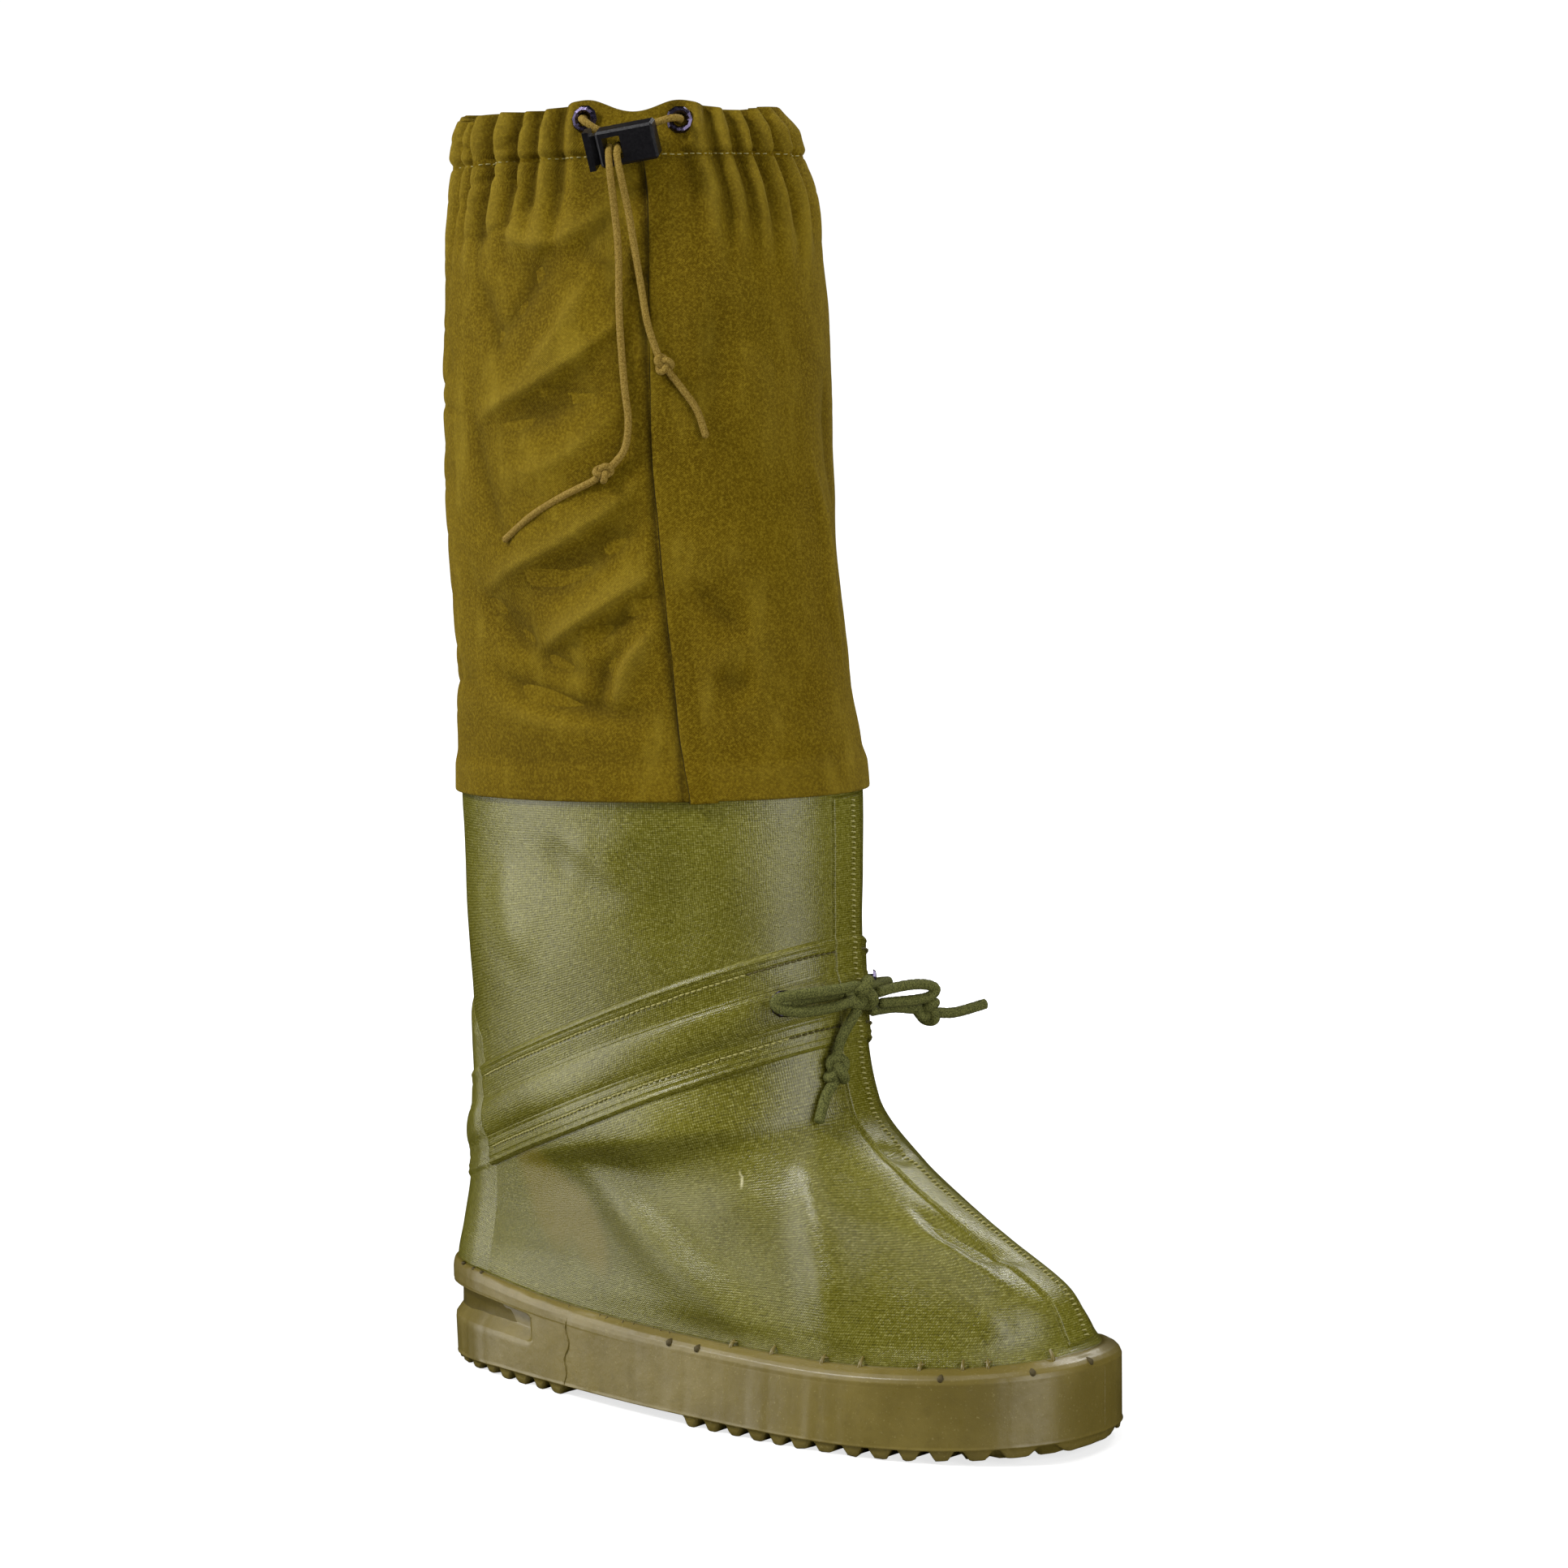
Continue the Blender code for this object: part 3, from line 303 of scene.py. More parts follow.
# Routes of the cords: height, turn about the leg in degrees, and distance from its face
DRAWCORD_ROUTE = (
    (0.5368, -70.5, 0.0006), (0.5367, -70.4, 0.0056), (0.5350, -68.4, 0.0092), (0.5306, -62.6, 0.0080),
    (0.5319, -54.4, 0.0078), (0.5336, -46.6, 0.0086), (0.5355, -40.6, 0.0098), (0.5362, -37.2, 0.0062),
    (0.5362, -37.0, 0.0006),
)
LONG_END = (
    (0.5233, -59.9, 0.0124), (0.5207, -59.8, 0.0149), (0.5162, -59.6, 0.0174), (0.5090, -59.8, 0.0160),
    (0.4980, -60.2, 0.0104), (0.4820, -60.0, 0.0060), (0.4560, -60.0, 0.0042), (0.4300, -59.0, 0.0038),
    (0.4150, -58.3, 0.0037), (0.4040, -59.5, 0.0037), (0.3978, -62.5, 0.0038),
)
LONG_KNOT = (0.3935, -66.0, 0.0045)
LONG_TAIL = (
    (0.3898, -69.6, 0.0040), (0.3835, -79.0, 0.0036), (0.3750, -90.0, 0.0036), (0.3640, -100.5, 0.0036),
)
SHORT_END = (
    (0.5239, -57.2, 0.0123), (0.5212, -57.2, 0.0148), (0.5166, -57.3, 0.0174), (0.5090, -57.0, 0.0155),
    (0.4980, -56.4, 0.0104), (0.4850, -55.5, 0.0064), (0.4700, -54.0, 0.0044), (0.4540, -52.0, 0.0044),
    (0.4420, -49.3, 0.0042),
)
SHORT_KNOT = (0.4375, -47.6, 0.0045)
SHORT_TAIL = (
    (0.4338, -45.8, 0.0041), (0.4275, -42.5, 0.0037), (0.4190, -38.5, 0.0036), (0.4075, -36.0, 0.0036),
)
OUTER_BAR = (
    (0.1762, -27.0, 0.0024), (0.1762, -27.0, 0.0060), (0.1768, -25.2, 0.0088), (0.1780, -19.5, 0.0082),
    (0.1786, -13.0, 0.0074), (0.1788, -6.2, 0.0074),
)
INNER_BAR = (
    (0.1780, 27.0, 0.0024), (0.1780, 27.0, 0.0066), (0.1784, 25.2, 0.0098), (0.1790, 19.5, 0.0090),
    (0.1790, 13.0, 0.0076), (0.1786, 6.0, 0.0070),
)
BOW_KNOT = (0.1775, 0.5, 0.0096)
OUTER_LOOP = (
    (0.1814, -4.9, 0.0110), (0.1814, -9.0, 0.0122), (0.1812, -15.0, 0.0130), (0.1809, -21.5, 0.0136),
    (0.1805, -26.5, 0.0141), (0.1797, -29.4, 0.0141), (0.1778, -30.7, 0.0140), (0.1756, -29.8, 0.0140),
    (0.1742, -27.2, 0.0142), (0.1734, -23.0, 0.0138), (0.1738, -15.5, 0.0128), (0.1750, -8.6, 0.0120),
    (0.1760, -4.6, 0.0122),
)
DOWN_END = (
    (0.1722, -1.8, 0.0100), (0.1690, -3.6, 0.0092), (0.1640, -6.0, 0.0070), (0.1575, -8.8, 0.0052),
    (0.1522, -10.0, 0.0044),
)
DOWN_KNOT = (0.1472, -10.8, 0.0046)
DOWN_TIP = (
    (0.1426, -12.4, 0.0038), (0.1370, -17.0, 0.0031), (0.1256, -24.0, 0.0030),
)

# World points of the bow's other loop and end
INNER_LOOP = (
    (0.1722, 0.0082, 0.1784), (0.1734, 0.0180, 0.1794), (0.1752, 0.0290, 0.1797),
    (0.1764, 0.0375, 0.1786), (0.1768, 0.0418, 0.1762), (0.1762, 0.0382, 0.1735),
    (0.1748, 0.0300, 0.1730), (0.1734, 0.0190, 0.1734), (0.1728, 0.0096, 0.1738),
)
SIDE_END = (
    (0.1692, 0.0085, 0.1704), (0.1676, 0.0160, 0.1700), (0.1688, 0.0250, 0.1698),
    (0.1722, 0.0351, 0.1682),
)
SIDE_KNOT = (0.1740, 0.0398, 0.1670)
SIDE_TIP = (
    (0.1758, 0.0446, 0.1660), (0.1800, 0.0520, 0.1657), (0.1865, 0.0650, 0.1686),
)

# ---- small tools ----
NOISE_CELLS = 32


def noise(points, size, seed):
    """Smooth random values from -1 to 1 at points, on cells of a size."""
    lattice = np.random.default_rng(seed).uniform(-1, 1, (NOISE_CELLS,) * 3)
    at = np.asarray(points) / size
    cell = np.floor(at).astype(int)
    share = at - cell
    share = share * share * (3 - 2 * share)
    value = 0
    for corner in itertools.product((0, 1), repeat=3):
        index = (cell + corner) % NOISE_CELLS
        weight = np.prod(np.where(corner, share, 1 - share), axis=-1)
        value = value + weight * lattice[index[..., 0], index[..., 1], index[..., 2]]
    return value


def smooth(value, start, end):
    """0 before start, 1 after end, and a soft step between."""
    share = np.clip((value - start) / (end - start), 0, 1)
    return share * share * (3 - 2 * share)


def grid_faces(rows, cols, around, closed):
    """Corner numbers of the faces between a grid's points, and the same for its chart.

    The chart has one more column where the grid goes around, and one more row where it is closed.
    """
    r = np.arange(rows if closed else rows - 1)
    c = np.arange(cols if around else cols - 1)
    r, c = (part.ravel() for part in np.meshgrid(r, c, indexing="ij"))
    corners = ((r, c), (r, c + 1), (r + 1, c + 1), (r + 1, c))
    faces = np.stack([row % rows * cols + col % cols for row, col in corners], axis=-1)
    wide = cols + 1 if around else cols
    charted = np.stack([row * wide + col for row, col in corners], axis=-1)
    return faces, charted


def make_chart(points, around, closed):
    """Lengths along a grid's rows and columns, in metres, as its UV map."""
    if around:
        points = np.concatenate((points, points[:, :1]), axis=1)
    if closed:
        points = np.concatenate((points, points[:1]), axis=0)
    across = np.linalg.norm(np.diff(points, axis=1), axis=-1)
    along = np.linalg.norm(np.diff(points, axis=0), axis=-1).mean(axis=1)
    u = np.concatenate((np.zeros((len(points), 1)), np.cumsum(across, axis=1)), axis=1)
    v = np.concatenate(([0], np.cumsum(along)))
    return np.stack((u, np.broadcast_to(v[:, None], u.shape)), axis=-1)


def add_object(name, data, finish):
    data.materials.append(finish)
    made = bpy.data.objects.new(name, data)
    bpy.context.scene.collection.objects.link(made)
    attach(made, "root")
    return made


def grid_object(name, points, finish, around=True, closed=False, shades=None):
    """A mesh over a grid of points. shades are named values a point, for the material."""
    rows, cols = points.shape[:2]
    faces, charted = grid_faces(rows, cols, around, closed)
    data = bpy.data.meshes.new(name)
    data.from_pydata(points.reshape(-1, 3).tolist(), [], faces.tolist())
    chart = make_chart(points, around, closed).reshape(-1, 2)
    layer = data.uv_layers.new(name="cloth")
    layer.data.foreach_set("uv", chart[charted.ravel()].astype(np.float32).ravel())
    for key, values in (shades or {}).items():
        attribute = data.attributes.new(key, "FLOAT", "POINT")
        attribute.data.foreach_set("value", np.broadcast_to(values, (rows, cols)).astype(np.float32).ravel())
    data.shade_smooth()
    return add_object(name, data, finish)


def join_meshes(name, parts, finish):
    """One object from (points, faces) parts."""
    points, faces, start = [], [], 0
    for part_points, part_faces in parts:
        points.extend(part_points)
        faces.extend([tuple(corner + start for corner in face) for face in part_faces])
        start += len(part_points)
    data = bpy.data.meshes.new(name)
    data.from_pydata([tuple(map(float, point)) for point in points], [], faces)
    data.shade_smooth()
    return add_object(name, data, finish)


# ---- folds ----
def fold_field(points, normals, table, power=2.0):
    """Height of folds at points of the leg's face.

    A row gives width, height, lean and the fold's own line by height and turn. A trough's height is under 0.
    With a lean over 0, a fold drawn to the right is steeper below its line. A small power has a sharp crest.
    """
    total = np.zeros(points.shape[:-1])
    for width, height, lean, *line in table:
        route = leg_route([(z, turn, 0) for z, turn in line])
        if len(route) > 2:
            route = curve_points(route, 0.012)
        middle = (route.min(axis=0) + route.max(axis=0)) / 2
        reach = np.linalg.norm(route - middle, axis=1).max() + 4 * width
        near = np.linalg.norm(points - middle, axis=-1) < reach
        total[near] += one_fold(points[near], normals[near], route, width, lean, power) * height
    return total


FOLD_END = 0.42  # share of a fold's length over which each end fades
FOLD_TIP = 0.45  # share of its width that a fold still has at its tips


def one_fold(points, normals, route, width, lean, power):
    """Height of a fold that is 1 high, at points near its route."""
    starts = run_along(route)
    best = np.full(len(points), np.inf)
    place, side = np.zeros(len(points)), np.zeros(len(points))
    for start, end, done in zip(route, route[1:], starts):
        length = np.linalg.norm(end - start)
        ahead = (end - start) / length
        along = np.clip((points - start) @ ahead, 0, length)
        away = points - start - along[:, None] * ahead
        distance = np.linalg.norm(away, axis=1)
        closer = distance < best
        best = np.where(closer, distance, best)
        place = np.where(closer, (done + along) / starts[-1], place)
        side = np.where(closer, np.einsum("ij,ij->i", np.cross(ahead, normals), away), side)
    ends = smooth(place, 0, FOLD_END) * smooth(1 - place, 0, FOLD_END)
    wide = width * np.where(side > 0, 1 - lean, 1 + lean) * (FOLD_TIP + (1 - FOLD_TIP) * ends)
    return ends * np.exp(-((best / wide) ** power))


# Its values drive painted light on ridges and painted shade in hollows.
def relief(points, rounds, reach):
    """How far points stand out of their surroundings or lie back in them, each from 0 to 1 at a reach.

    The surroundings are a face's points after a number of rounds of evening out.
    """
    radius = np.hypot(points[..., 0] - AXIS_X, points[..., 1])
    level = radius
    for _ in range(rounds):
        ahead = np.concatenate((level[1:], level[-1:]))
        behind = np.concatenate((level[:1], level[:-1]))
        level = (ahead + behind + np.roll(level, 1, axis=1) + np.roll(level, -1, axis=1)) / 4
    stand = (radius - level) / reach
    return {"ridge": np.clip(stand, 0, 1), "hollow_shade": np.clip(-stand, 0, 1)}


# Folds of the boot: width, height, lean, and places by height and turn in degrees
BOOT_FOLDS = (
    (0.0135, 0.0068, 0.4, (0.096, -132), (0.112, -104), (0.118, -91), (0.123, -70),
     (0.126, -49), (0.134, -18)),
    (0.0120, -0.0016, 0.0, (0.086, -124), (0.095, -102), (0.100, -88), (0.104, -70), (0.108, -46)),
    (0.0130, 0.0062, 0.2, (0.124, -20), (0.110, -38), (0.094, -51), (0.078, -62),
     (0.060, -73), (0.040, -82), (0.026, -88)),
    (0.0120, 0.0056, -0.25, (0.108, -112), (0.092, -102), (0.076, -97), (0.058, -94), (0.036, -90)),
    (0.0060, -0.0032, 0.3, (0.098, -16), (0.082, -14), (0.077, -4), (0.071, 6)),
    (0.0060, 0.0024, 0.0, (0.090, -20), (0.074, -20), (0.066, -12)),
    (0.0050, -0.0022, 0.0, (0.117, -8), (0.111, 4), (0.109, 18)),
    (0.0070, 0.0016, 0.0, (0.062, -34), (0.054, -30), (0.047, -26)),
    (0.0110, 0.0018, 0.0, (0.246, -92), (0.232, -80), (0.222, -68)),
    (0.0100, -0.0020, 0.0, (0.238, -100), (0.226, -84), (0.214, -70)),
    (0.0080, 0.0014, 0.0, (0.256, -80), (0.248, -70), (0.240, -62)),
    (0.0140, 0.0018, 0.0, (0.236, -112), (0.206, -110), (0.178, -104)),
    (0.0120, -0.0020, 0.0, (0.240, -58), (0.210, -56), (0.185, -60)),
    (0.0110, -0.0036, 0.0, (0.104, 118), (0.112, 88), (0.114, 52)),
    (0.0090, 0.0030, 0.0, (0.090, 104), (0.076, 92), (0.066, 80)),
    (0.0080, 0.0030, 0.2, (0.102, 48), (0.084, 60), (0.062, 74)),
    (0.0100, -0.0018, 0.0, (0.210, 130), (0.190, 118), (0.175, 110)),
)

# Folds of the shaft in the same columns, first the outer side's from the top down, then the other sides'
SHAFT_FOLDS = (
    (0.0120, 0.0040, 0.5, (0.500, -116), (0.492, -98), (0.486, -88), (0.492, -74), (0.508, -56)),
    (0.0070, -0.0030, 0.0, (0.496, -80), (0.477, -86), (0.460, -93), (0.440, -108)),
    (0.0055, -0.0026, 0.0, (0.480, -116), (0.462, -107), (0.444, -101), (0.430, -98)),
    (0.0065, 0.0024, 0.0, (0.480, -66), (0.462, -74), (0.444, -82), (0.428, -92)),
    (0.0100, 0.0042, 0.6, (0.404, -122), (0.418, -104), (0.430, -86), (0.444, -70), (0.464, -52)),
    (0.0085, -0.0028, 0.0, (0.408, -106), (0.414, -92), (0.420, -78), (0.432, -58)),
    (0.0120, 0.0030, 0.3, (0.392, -106), (0.394, -88), (0.404, -74), (0.426, -56)),
    (0.0070, -0.0026, 0.0, (0.436, -114), (0.404, -112), (0.380, -107), (0.352, -96)),
    (0.0120, 0.0048, 0.6, (0.334, -122), (0.350, -102), (0.362, -84), (0.376, -68), (0.398, -48)),
    (0.0100, -0.0034, 0.3, (0.340, -104), (0.350, -80), (0.362, -66), (0.382, -48)),
    (0.0075, 0.0040, 0.5, (0.310, -104), (0.328, -82), (0.342, -66), (0.360, -46)),
    (0.0050, -0.0026, 0.0, (0.316, -92), (0.328, -72), (0.338, -60), (0.350, -46)),
    (0.0045, 0.0034, 0.0, (0.334, -53), (0.318, -64), (0.306, -68), (0.290, -70)),
    (0.0055, -0.0030, 0.0, (0.330, -58), (0.314, -71), (0.300, -75), (0.288, -77)),
    (0.0090, -0.0044, 0.0, (0.352, -124), (0.332, -106), (0.316, -90), (0.304, -66)),
    (0.0080, -0.0042, -0.3, (0.316, -124), (0.302, -98), (0.296, -80), (0.290, -52)),
    (0.0080, 0.0030, 0.0, (0.298, -120), (0.288, -92), (0.286, -60)),
    (0.0080, -0.0030, 0.0, (0.352, -47), (0.337, -36), (0.323, -24)),
    (0.0080, -0.0024, 0.0, (0.312, -42), (0.304, -26)),
    (0.0100, -0.0022, 0.0, (0.470, -34), (0.440, -32), (0.410, -34)),
    (0.0100, 0.0020, 0.0, (0.460, -18), (0.420, -14), (0.380, -16)),
    (0.0028, 0.0026, 0.0, (0.409, 3), (0.368, 12), (0.343, 11), (0.300, 17)),
    (0.0060, -0.0024, 0.0, (0.440, 16), (0.405, 20), (0.370, 24)),
    (0.0080, -0.0034, 0.0, (0.496, 50), (0.470, 78), (0.456, 106)),
    (0.0100, 0.0036, 0.4, (0.446, 40), (0.420, 70), (0.396, 102)),
    (0.0080, -0.0034, 0.0, (0.404, 34), (0.376, 66), (0.354, 100)),
    (0.0090, 0.0036, 0.4, (0.364, 130), (0.340, 96), (0.322, 60)),
    (0.0080, -0.0030, 0.0, (0.326, 42), (0.306, 74), (0.294, 110)),
    (0.0090, -0.0034, 0.0, (0.490, 140), (0.446, 170), (0.410, -176)),
    (0.0090, 0.0034, 0.4, (0.410, 136), (0.380, 166), (0.340, -178)),
    (0.0080, -0.0030, 0.0, (0.346, 140), (0.312, 168), (0.294, -176)),
    (0.0080, -0.0028, 0.0, (0.430, -156), (0.400, -140), (0.380, -124)),
)

# ---- upper ----
COLUMNS = 300
UPPER_ROWS = 250
INNER_ROWS = 16
INNER_LIFT = -0.0020  # of the boot's inner face from the smooth outer one
TUCK_TOP, TUCK_DEPTH = 0.040, 0.0032  # the boot draws in behind the sole's heel groove, up to a height
RIM_CALM = 0.012  # the boot's creases grow to their full height over this distance above the rim
HEM_CALM = 0.020  # and end over this one under the hem
TURNS = np.arange(COLUMNS) * 2 * math.pi / COLUMNS


def spread_rows(levels, count, first):
    """Row numbers, with fractions, a like height apart from a first row to the last level."""
    mean = np.array(levels).mean(axis=1)
    heights = np.linspace(np.interp(first, np.arange(len(mean)), mean), mean[-1], count)
    return np.interp(heights, mean, np.arange(len(mean)))


def level_heights(levels, rows):
    levels = np.array(levels)
    low = np.minimum(np.floor(rows).astype(int), len(levels) - 2)
    share = (rows - low)[:, None]
    return levels[low] * (1 - share) + levels[low + 1] * share


def boot_lift(z, phi):
    """How far the creased skin stands out from the smooth face."""
    points, normals = leg_point(z, phi), leg_normal(z, phi)
    x = points[..., 0]
    lift = fold_field(points, normals, BOOT_FOLDS)
    lift = lift + 0.0005 * noise(points, 0.045, 1) + 0.0002 * noise(points, 0.016, 2)
    rim = rim_value("rim", x)
    calm = smooth(z, rim, rim + RIM_CALM) * (1 - smooth(z, HEM - HEM_CALM, HEM))
    tuck = smooth(-z, -TUCK_TOP, -TUCK_TOP + 0.004) * (1 - smooth(x, GROOVE_END, GROOVE_END + 0.02))
    return lift * calm - TUCK_DEPTH * tuck


def on_boot(z, phi, lift=0.0):
    return offset_face(z, phi, boot_lift(z, phi) + lift)


# Worn and stained places: width, strength, lean, and places by height and turn
PALE_MARKS = ((0.0009, 1.0, 0.0, (0.112, -62), (0.104, -66), (0.096, -72)),)
TAN_STAINS = (
    (0.012, 1.1, 0.0, (0.126, -128), (0.104, -122), (0.078, -118), (0.048, -114)),
    (0.010, 1.0, 0.0, (0.100, -116), (0.074, -110), (0.044, -106)),
    (0.006, 0.8, 0.0, (0.146, -134), (0.126, -132), (0.104, -133)),
)


def boot_marks(points, blank_rows):
    """Values of the outer face's scratched and stained places, and 0 on the rows of the inner face."""
    normals = points * 0 + (0, 0, 1)
    blank = np.zeros((blank_rows, points.shape[1]))
    found = {}
    for name, table in (("pale", PALE_MARKS), ("tan", TAN_STAINS)):
        found[name] = np.concatenate((fold_field(points, normals, table), blank))
    return found


def make_upper(finish):
    levels = boot_levels(TURNS)
    z = level_heights(levels, spread_rows(levels, UPPER_ROWS, 1.4))
    phi = np.broadcast_to(TURNS, z.shape)
    outer = on_boot(z, phi)
    inner_z = level_heights(levels, spread_rows(levels, INNER_ROWS, 0.2))[::-1]
    inner = offset_face(inner_z, np.broadcast_to(TURNS, inner_z.shape), INNER_LIFT)
    shades = boot_marks(outer, len(inner))
    # Hollows of the folds, kept for painted shade in the boot's creases.
    shades["hollow_shade"] = np.concatenate((relief(outer, 60, 0.0025)["hollow_shade"], np.zeros(inner_z.shape)))
    made = grid_object("boot_upper", np.concatenate((outer, inner)), finish, closed=True, shades=shades)
    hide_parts("upper")


# ---- ankle band, front tape and heel counter ----
BAND_EDGE = 0.0006  # width of the step at the band's edges
BAND_LOW, TUNNEL_LOW, TUNNEL_HIGH, BAND_HIGH = 0.1171, 0.1294, 0.1463, 0.1612
BAND_STITCH = (0.1243, 0.1562)
DARK_STITCH_TURNS = {0.1243: 26.0, 0.1562: 36.0}  # turn up to which the stitches at a height are drawn dark: painted shade in their holes
BAND_UNDER = 0.003  # how far the band reaches in under the front tape
OVERLAY_DIP = 0.0009  # how far an overlay's border dips
OVERLAY_BACK = 0.0006  # how far under the boot's face an overlay's back lies


def band_lift(height):
    """Height of the band over the skin, across it. height is measured at the leg's axis."""
    flange = BAND_FLANGE * smooth(height, BAND_LOW - BAND_EDGE, BAND_LOW)
    flange = flange * smooth(-height, -BAND_HIGH - BAND_EDGE, -BAND_HIGH)
    middle, half = (TUNNEL_LOW + TUNNEL_HIGH) / 2, (TUNNEL_HIGH - TUNNEL_LOW) / 2
    bulge = np.clip(1 - ((height - middle) / half) ** 2, 0, 1) ** 0.7
    lines = 0
    for place in (BAND_LOW + 0.0010, 0.1208, TUNNEL_LOW - 0.0004, TUNNEL_HIGH + 0.0004, BAND_HIGH - 0.0010):
        lines = lines + 0.0004 * np.exp(-(((height - place) / 0.0005) ** 2))
    for place in BAND_STITCH:
        lines = lines - 0.0004 * np.exp(-(((height - place) / 0.0008) ** 2))
    return flange + (BAND_TUNNEL - BAND_FLANGE) * bulge * 1.1 + lines * (flange > 0)


def over_band(z, phi):
    """How far a tape stands out that is sewn over the band."""
    points = leg_point(z, phi)
    return TAPE_THICK + 0.85 * band_lift(points[..., 2] - BAND_SLOPE * (points[..., 0] - AXIS_X))


def arc_turns(z_at, reach):
    """Turns at distances along a level from the front. z_at gives the level's heights at turns."""
    fine = np.linspace(-math.pi, math.pi, 1441)
    points = leg_point(z_at(fine), fine)
    done = run_along(points)
    done = done - done[len(fine) // 2]
    return np.interp(reach, done, fine)


def strip(name, z, phi, lift, finish):
    """A thin overlay on the boot. Its border rows and columns dip into the skin, and its back is under it."""
    edge = np.ones(z.shape)
    edge[0], edge[-1] = 0, 0
    edge[:, 0], edge[:, -1] = 0, 0
    face = on_boot(z, phi, OVERLAY_GAP + lift * edge - OVERLAY_DIP * (1 - edge))
    back = on_boot(z, phi, -OVERLAY_BACK)[::-1]
    return grid_object(name, np.concatenate((face, back)), finish, around=False, closed=True)


def make_band(side, finish):
    """Half of the ankle band, from the front tape to the heel counter. side is 1 on the inner side."""
    heights = in_steps(
        (BAND_LOW - 0.0012, BAND_LOW + 0.0030, 10),
        (BAND_LOW + 0.0034, TUNNEL_LOW - 0.0015, 14),
        (TUNNEL_LOW - 0.0012, TUNNEL_LOW + 0.0014, 9),
        (TUNNEL_LOW + 0.0020, TUNNEL_HIGH - 0.0020, 16),
        (TUNNEL_HIGH - 0.0014, TUNNEL_HIGH + 0.0012, 9),
        (TUNNEL_HIGH + 0.0016, BAND_HIGH - 0.0034, 18),
        (BAND_HIGH - 0.0030, BAND_HIGH + 0.0012, 10),
    )
    first = TAPE_SHIFT * side + TAPE_HALF - BAND_UNDER
    last = math.pi - COUNTER_TURN + math.radians(3)
    z, phi = [], []
    for height in heights:
        start = abs(arc_turns(lambda turn: slope_ring(height, BAND_SLOPE, turn), side * first))
        turns = side * np.linspace(start, last, 220)
        phi.append(turns)
        z.append(slope_ring(height, BAND_SLOPE, turns))
    z, phi = np.array(z), np.array(phi)
    if side < 0:
        z, phi = z[:, ::-1], phi[:, ::-1]
    name = "ankle_band_inner" if side > 0 else "ankle_band_outer"
    lift = np.broadcast_to(band_lift(heights)[:, None], z.shape)
    made = strip("band_" + name[11:], z, phi, lift, finish)
    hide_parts(name)


TAPE_STITCH = 0.25  # where the zig-zag stitches run, as a share of the tape's half width
TAPE_FIRST, TAPE_LAST = 2.3, 17.0  # levels of the boot at which the tape starts and ends


def tape_line(reach, count):
    """Heights and turns of rows of points across the front, at distances from its middle."""
    fine = np.linspace(-1.2, 1.2, 241)
    levels = boot_levels(fine)
    rows = spread_rows(levels, count, TAPE_FIRST)
    z, phi = [], []
    for row_z in level_heights(levels, rows[rows < TAPE_LAST]):
        done = run_along(leg_point(row_z, fine))
        turns = np.interp(reach, done - np.interp(0, fine, done), fine)
        phi.append(turns)
        z.append(np.interp(turns, fine, row_z))
    return np.array(z), np.array(phi)


def make_front_tape(finish):
    reach = np.linspace(TAPE_SHIFT - TAPE_HALF, TAPE_SHIFT + TAPE_HALF, 25)
    reach = np.concatenate((reach[:1] - 0.0003, reach, reach[-1:] + 0.0003))
    z, phi = tape_line(reach, 260)
    made = strip("front_seam_tape", z, phi, over_band(z, phi), finish)
    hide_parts("front_tape")


# Outline of the heel counter's upper edge: distance from the middle of the back, and height
COUNTER_ARCH = ((0.000, 0.1710), (0.013, 0.1690), (0.025, 0.1630), (0.034, 0.1530), (0.040, 0.1420))
COUNTER_FALL = 1.2  # how steeply that edge falls past the last of those places
COUNTER_LEVEL = 8  # number of the boot's level at which the distances are measured


def make_heel_counter(finish):
    shares = np.linspace(-1, 1, 121)
    phi = math.pi + shares * COUNTER_TURN
    levels = np.array(boot_levels(phi))
    low = levels[2] - 0.001
    y = np.abs(leg_point(levels[COUNTER_LEVEL], phi)[:, 1])
    reach = np.array(COUNTER_ARCH)
    top = np.interp(y, reach[:, 0], reach[:, 1])
    top = np.where(y > reach[-1, 0], reach[-1, 1] - (y - reach[-1, 0]) * COUNTER_FALL, top)
    steps = np.linspace(0, 1, 110)[:, None]
    z = low * (1 - steps) + top * steps
    phi = np.broadcast_to(phi, z.shape)
    fade = smooth(1 - np.abs(shares), 0.0, 0.20) * smooth(1 - steps, 0.0, 0.06)
    lift = (OVERLAY_GAP + over_band(z, phi)) * fade + 0.0001 - OVERLAY_GAP
    made = strip("heel_patch", z, phi, lift, finish)
    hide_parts("heel_counter")


# ---- shaft ----
SHAFT_COLUMNS = 320
SHAFT_INNER_ROWS = 24
SHAFT_TURNS = np.arange(SHAFT_COLUMNS) * 2 * math.pi / SHAFT_COLUMNS
LEG_RADIUS = 0.062
SEAM_GROOVE = 0.0012  # distance from the side seam's middle back to the groove along it
BACK_CALM, BACK_CALM_HALF = -134.0, 20.0  # middle and half width in degrees of a strip with low folds

# How the ring's slope changes with its height at the leg's axis
SLOPE_COLUMNS = ("height", "slope")
SLOPES = (
    (HEM, SHAFT_SLOPE), (0.375, SHAFT_SLOPE), (0.445, 0.038), (TUNNEL_SEAM, 0.031), (0.528, 0.020),
    (SHAFT_TOP, 0.0),
)

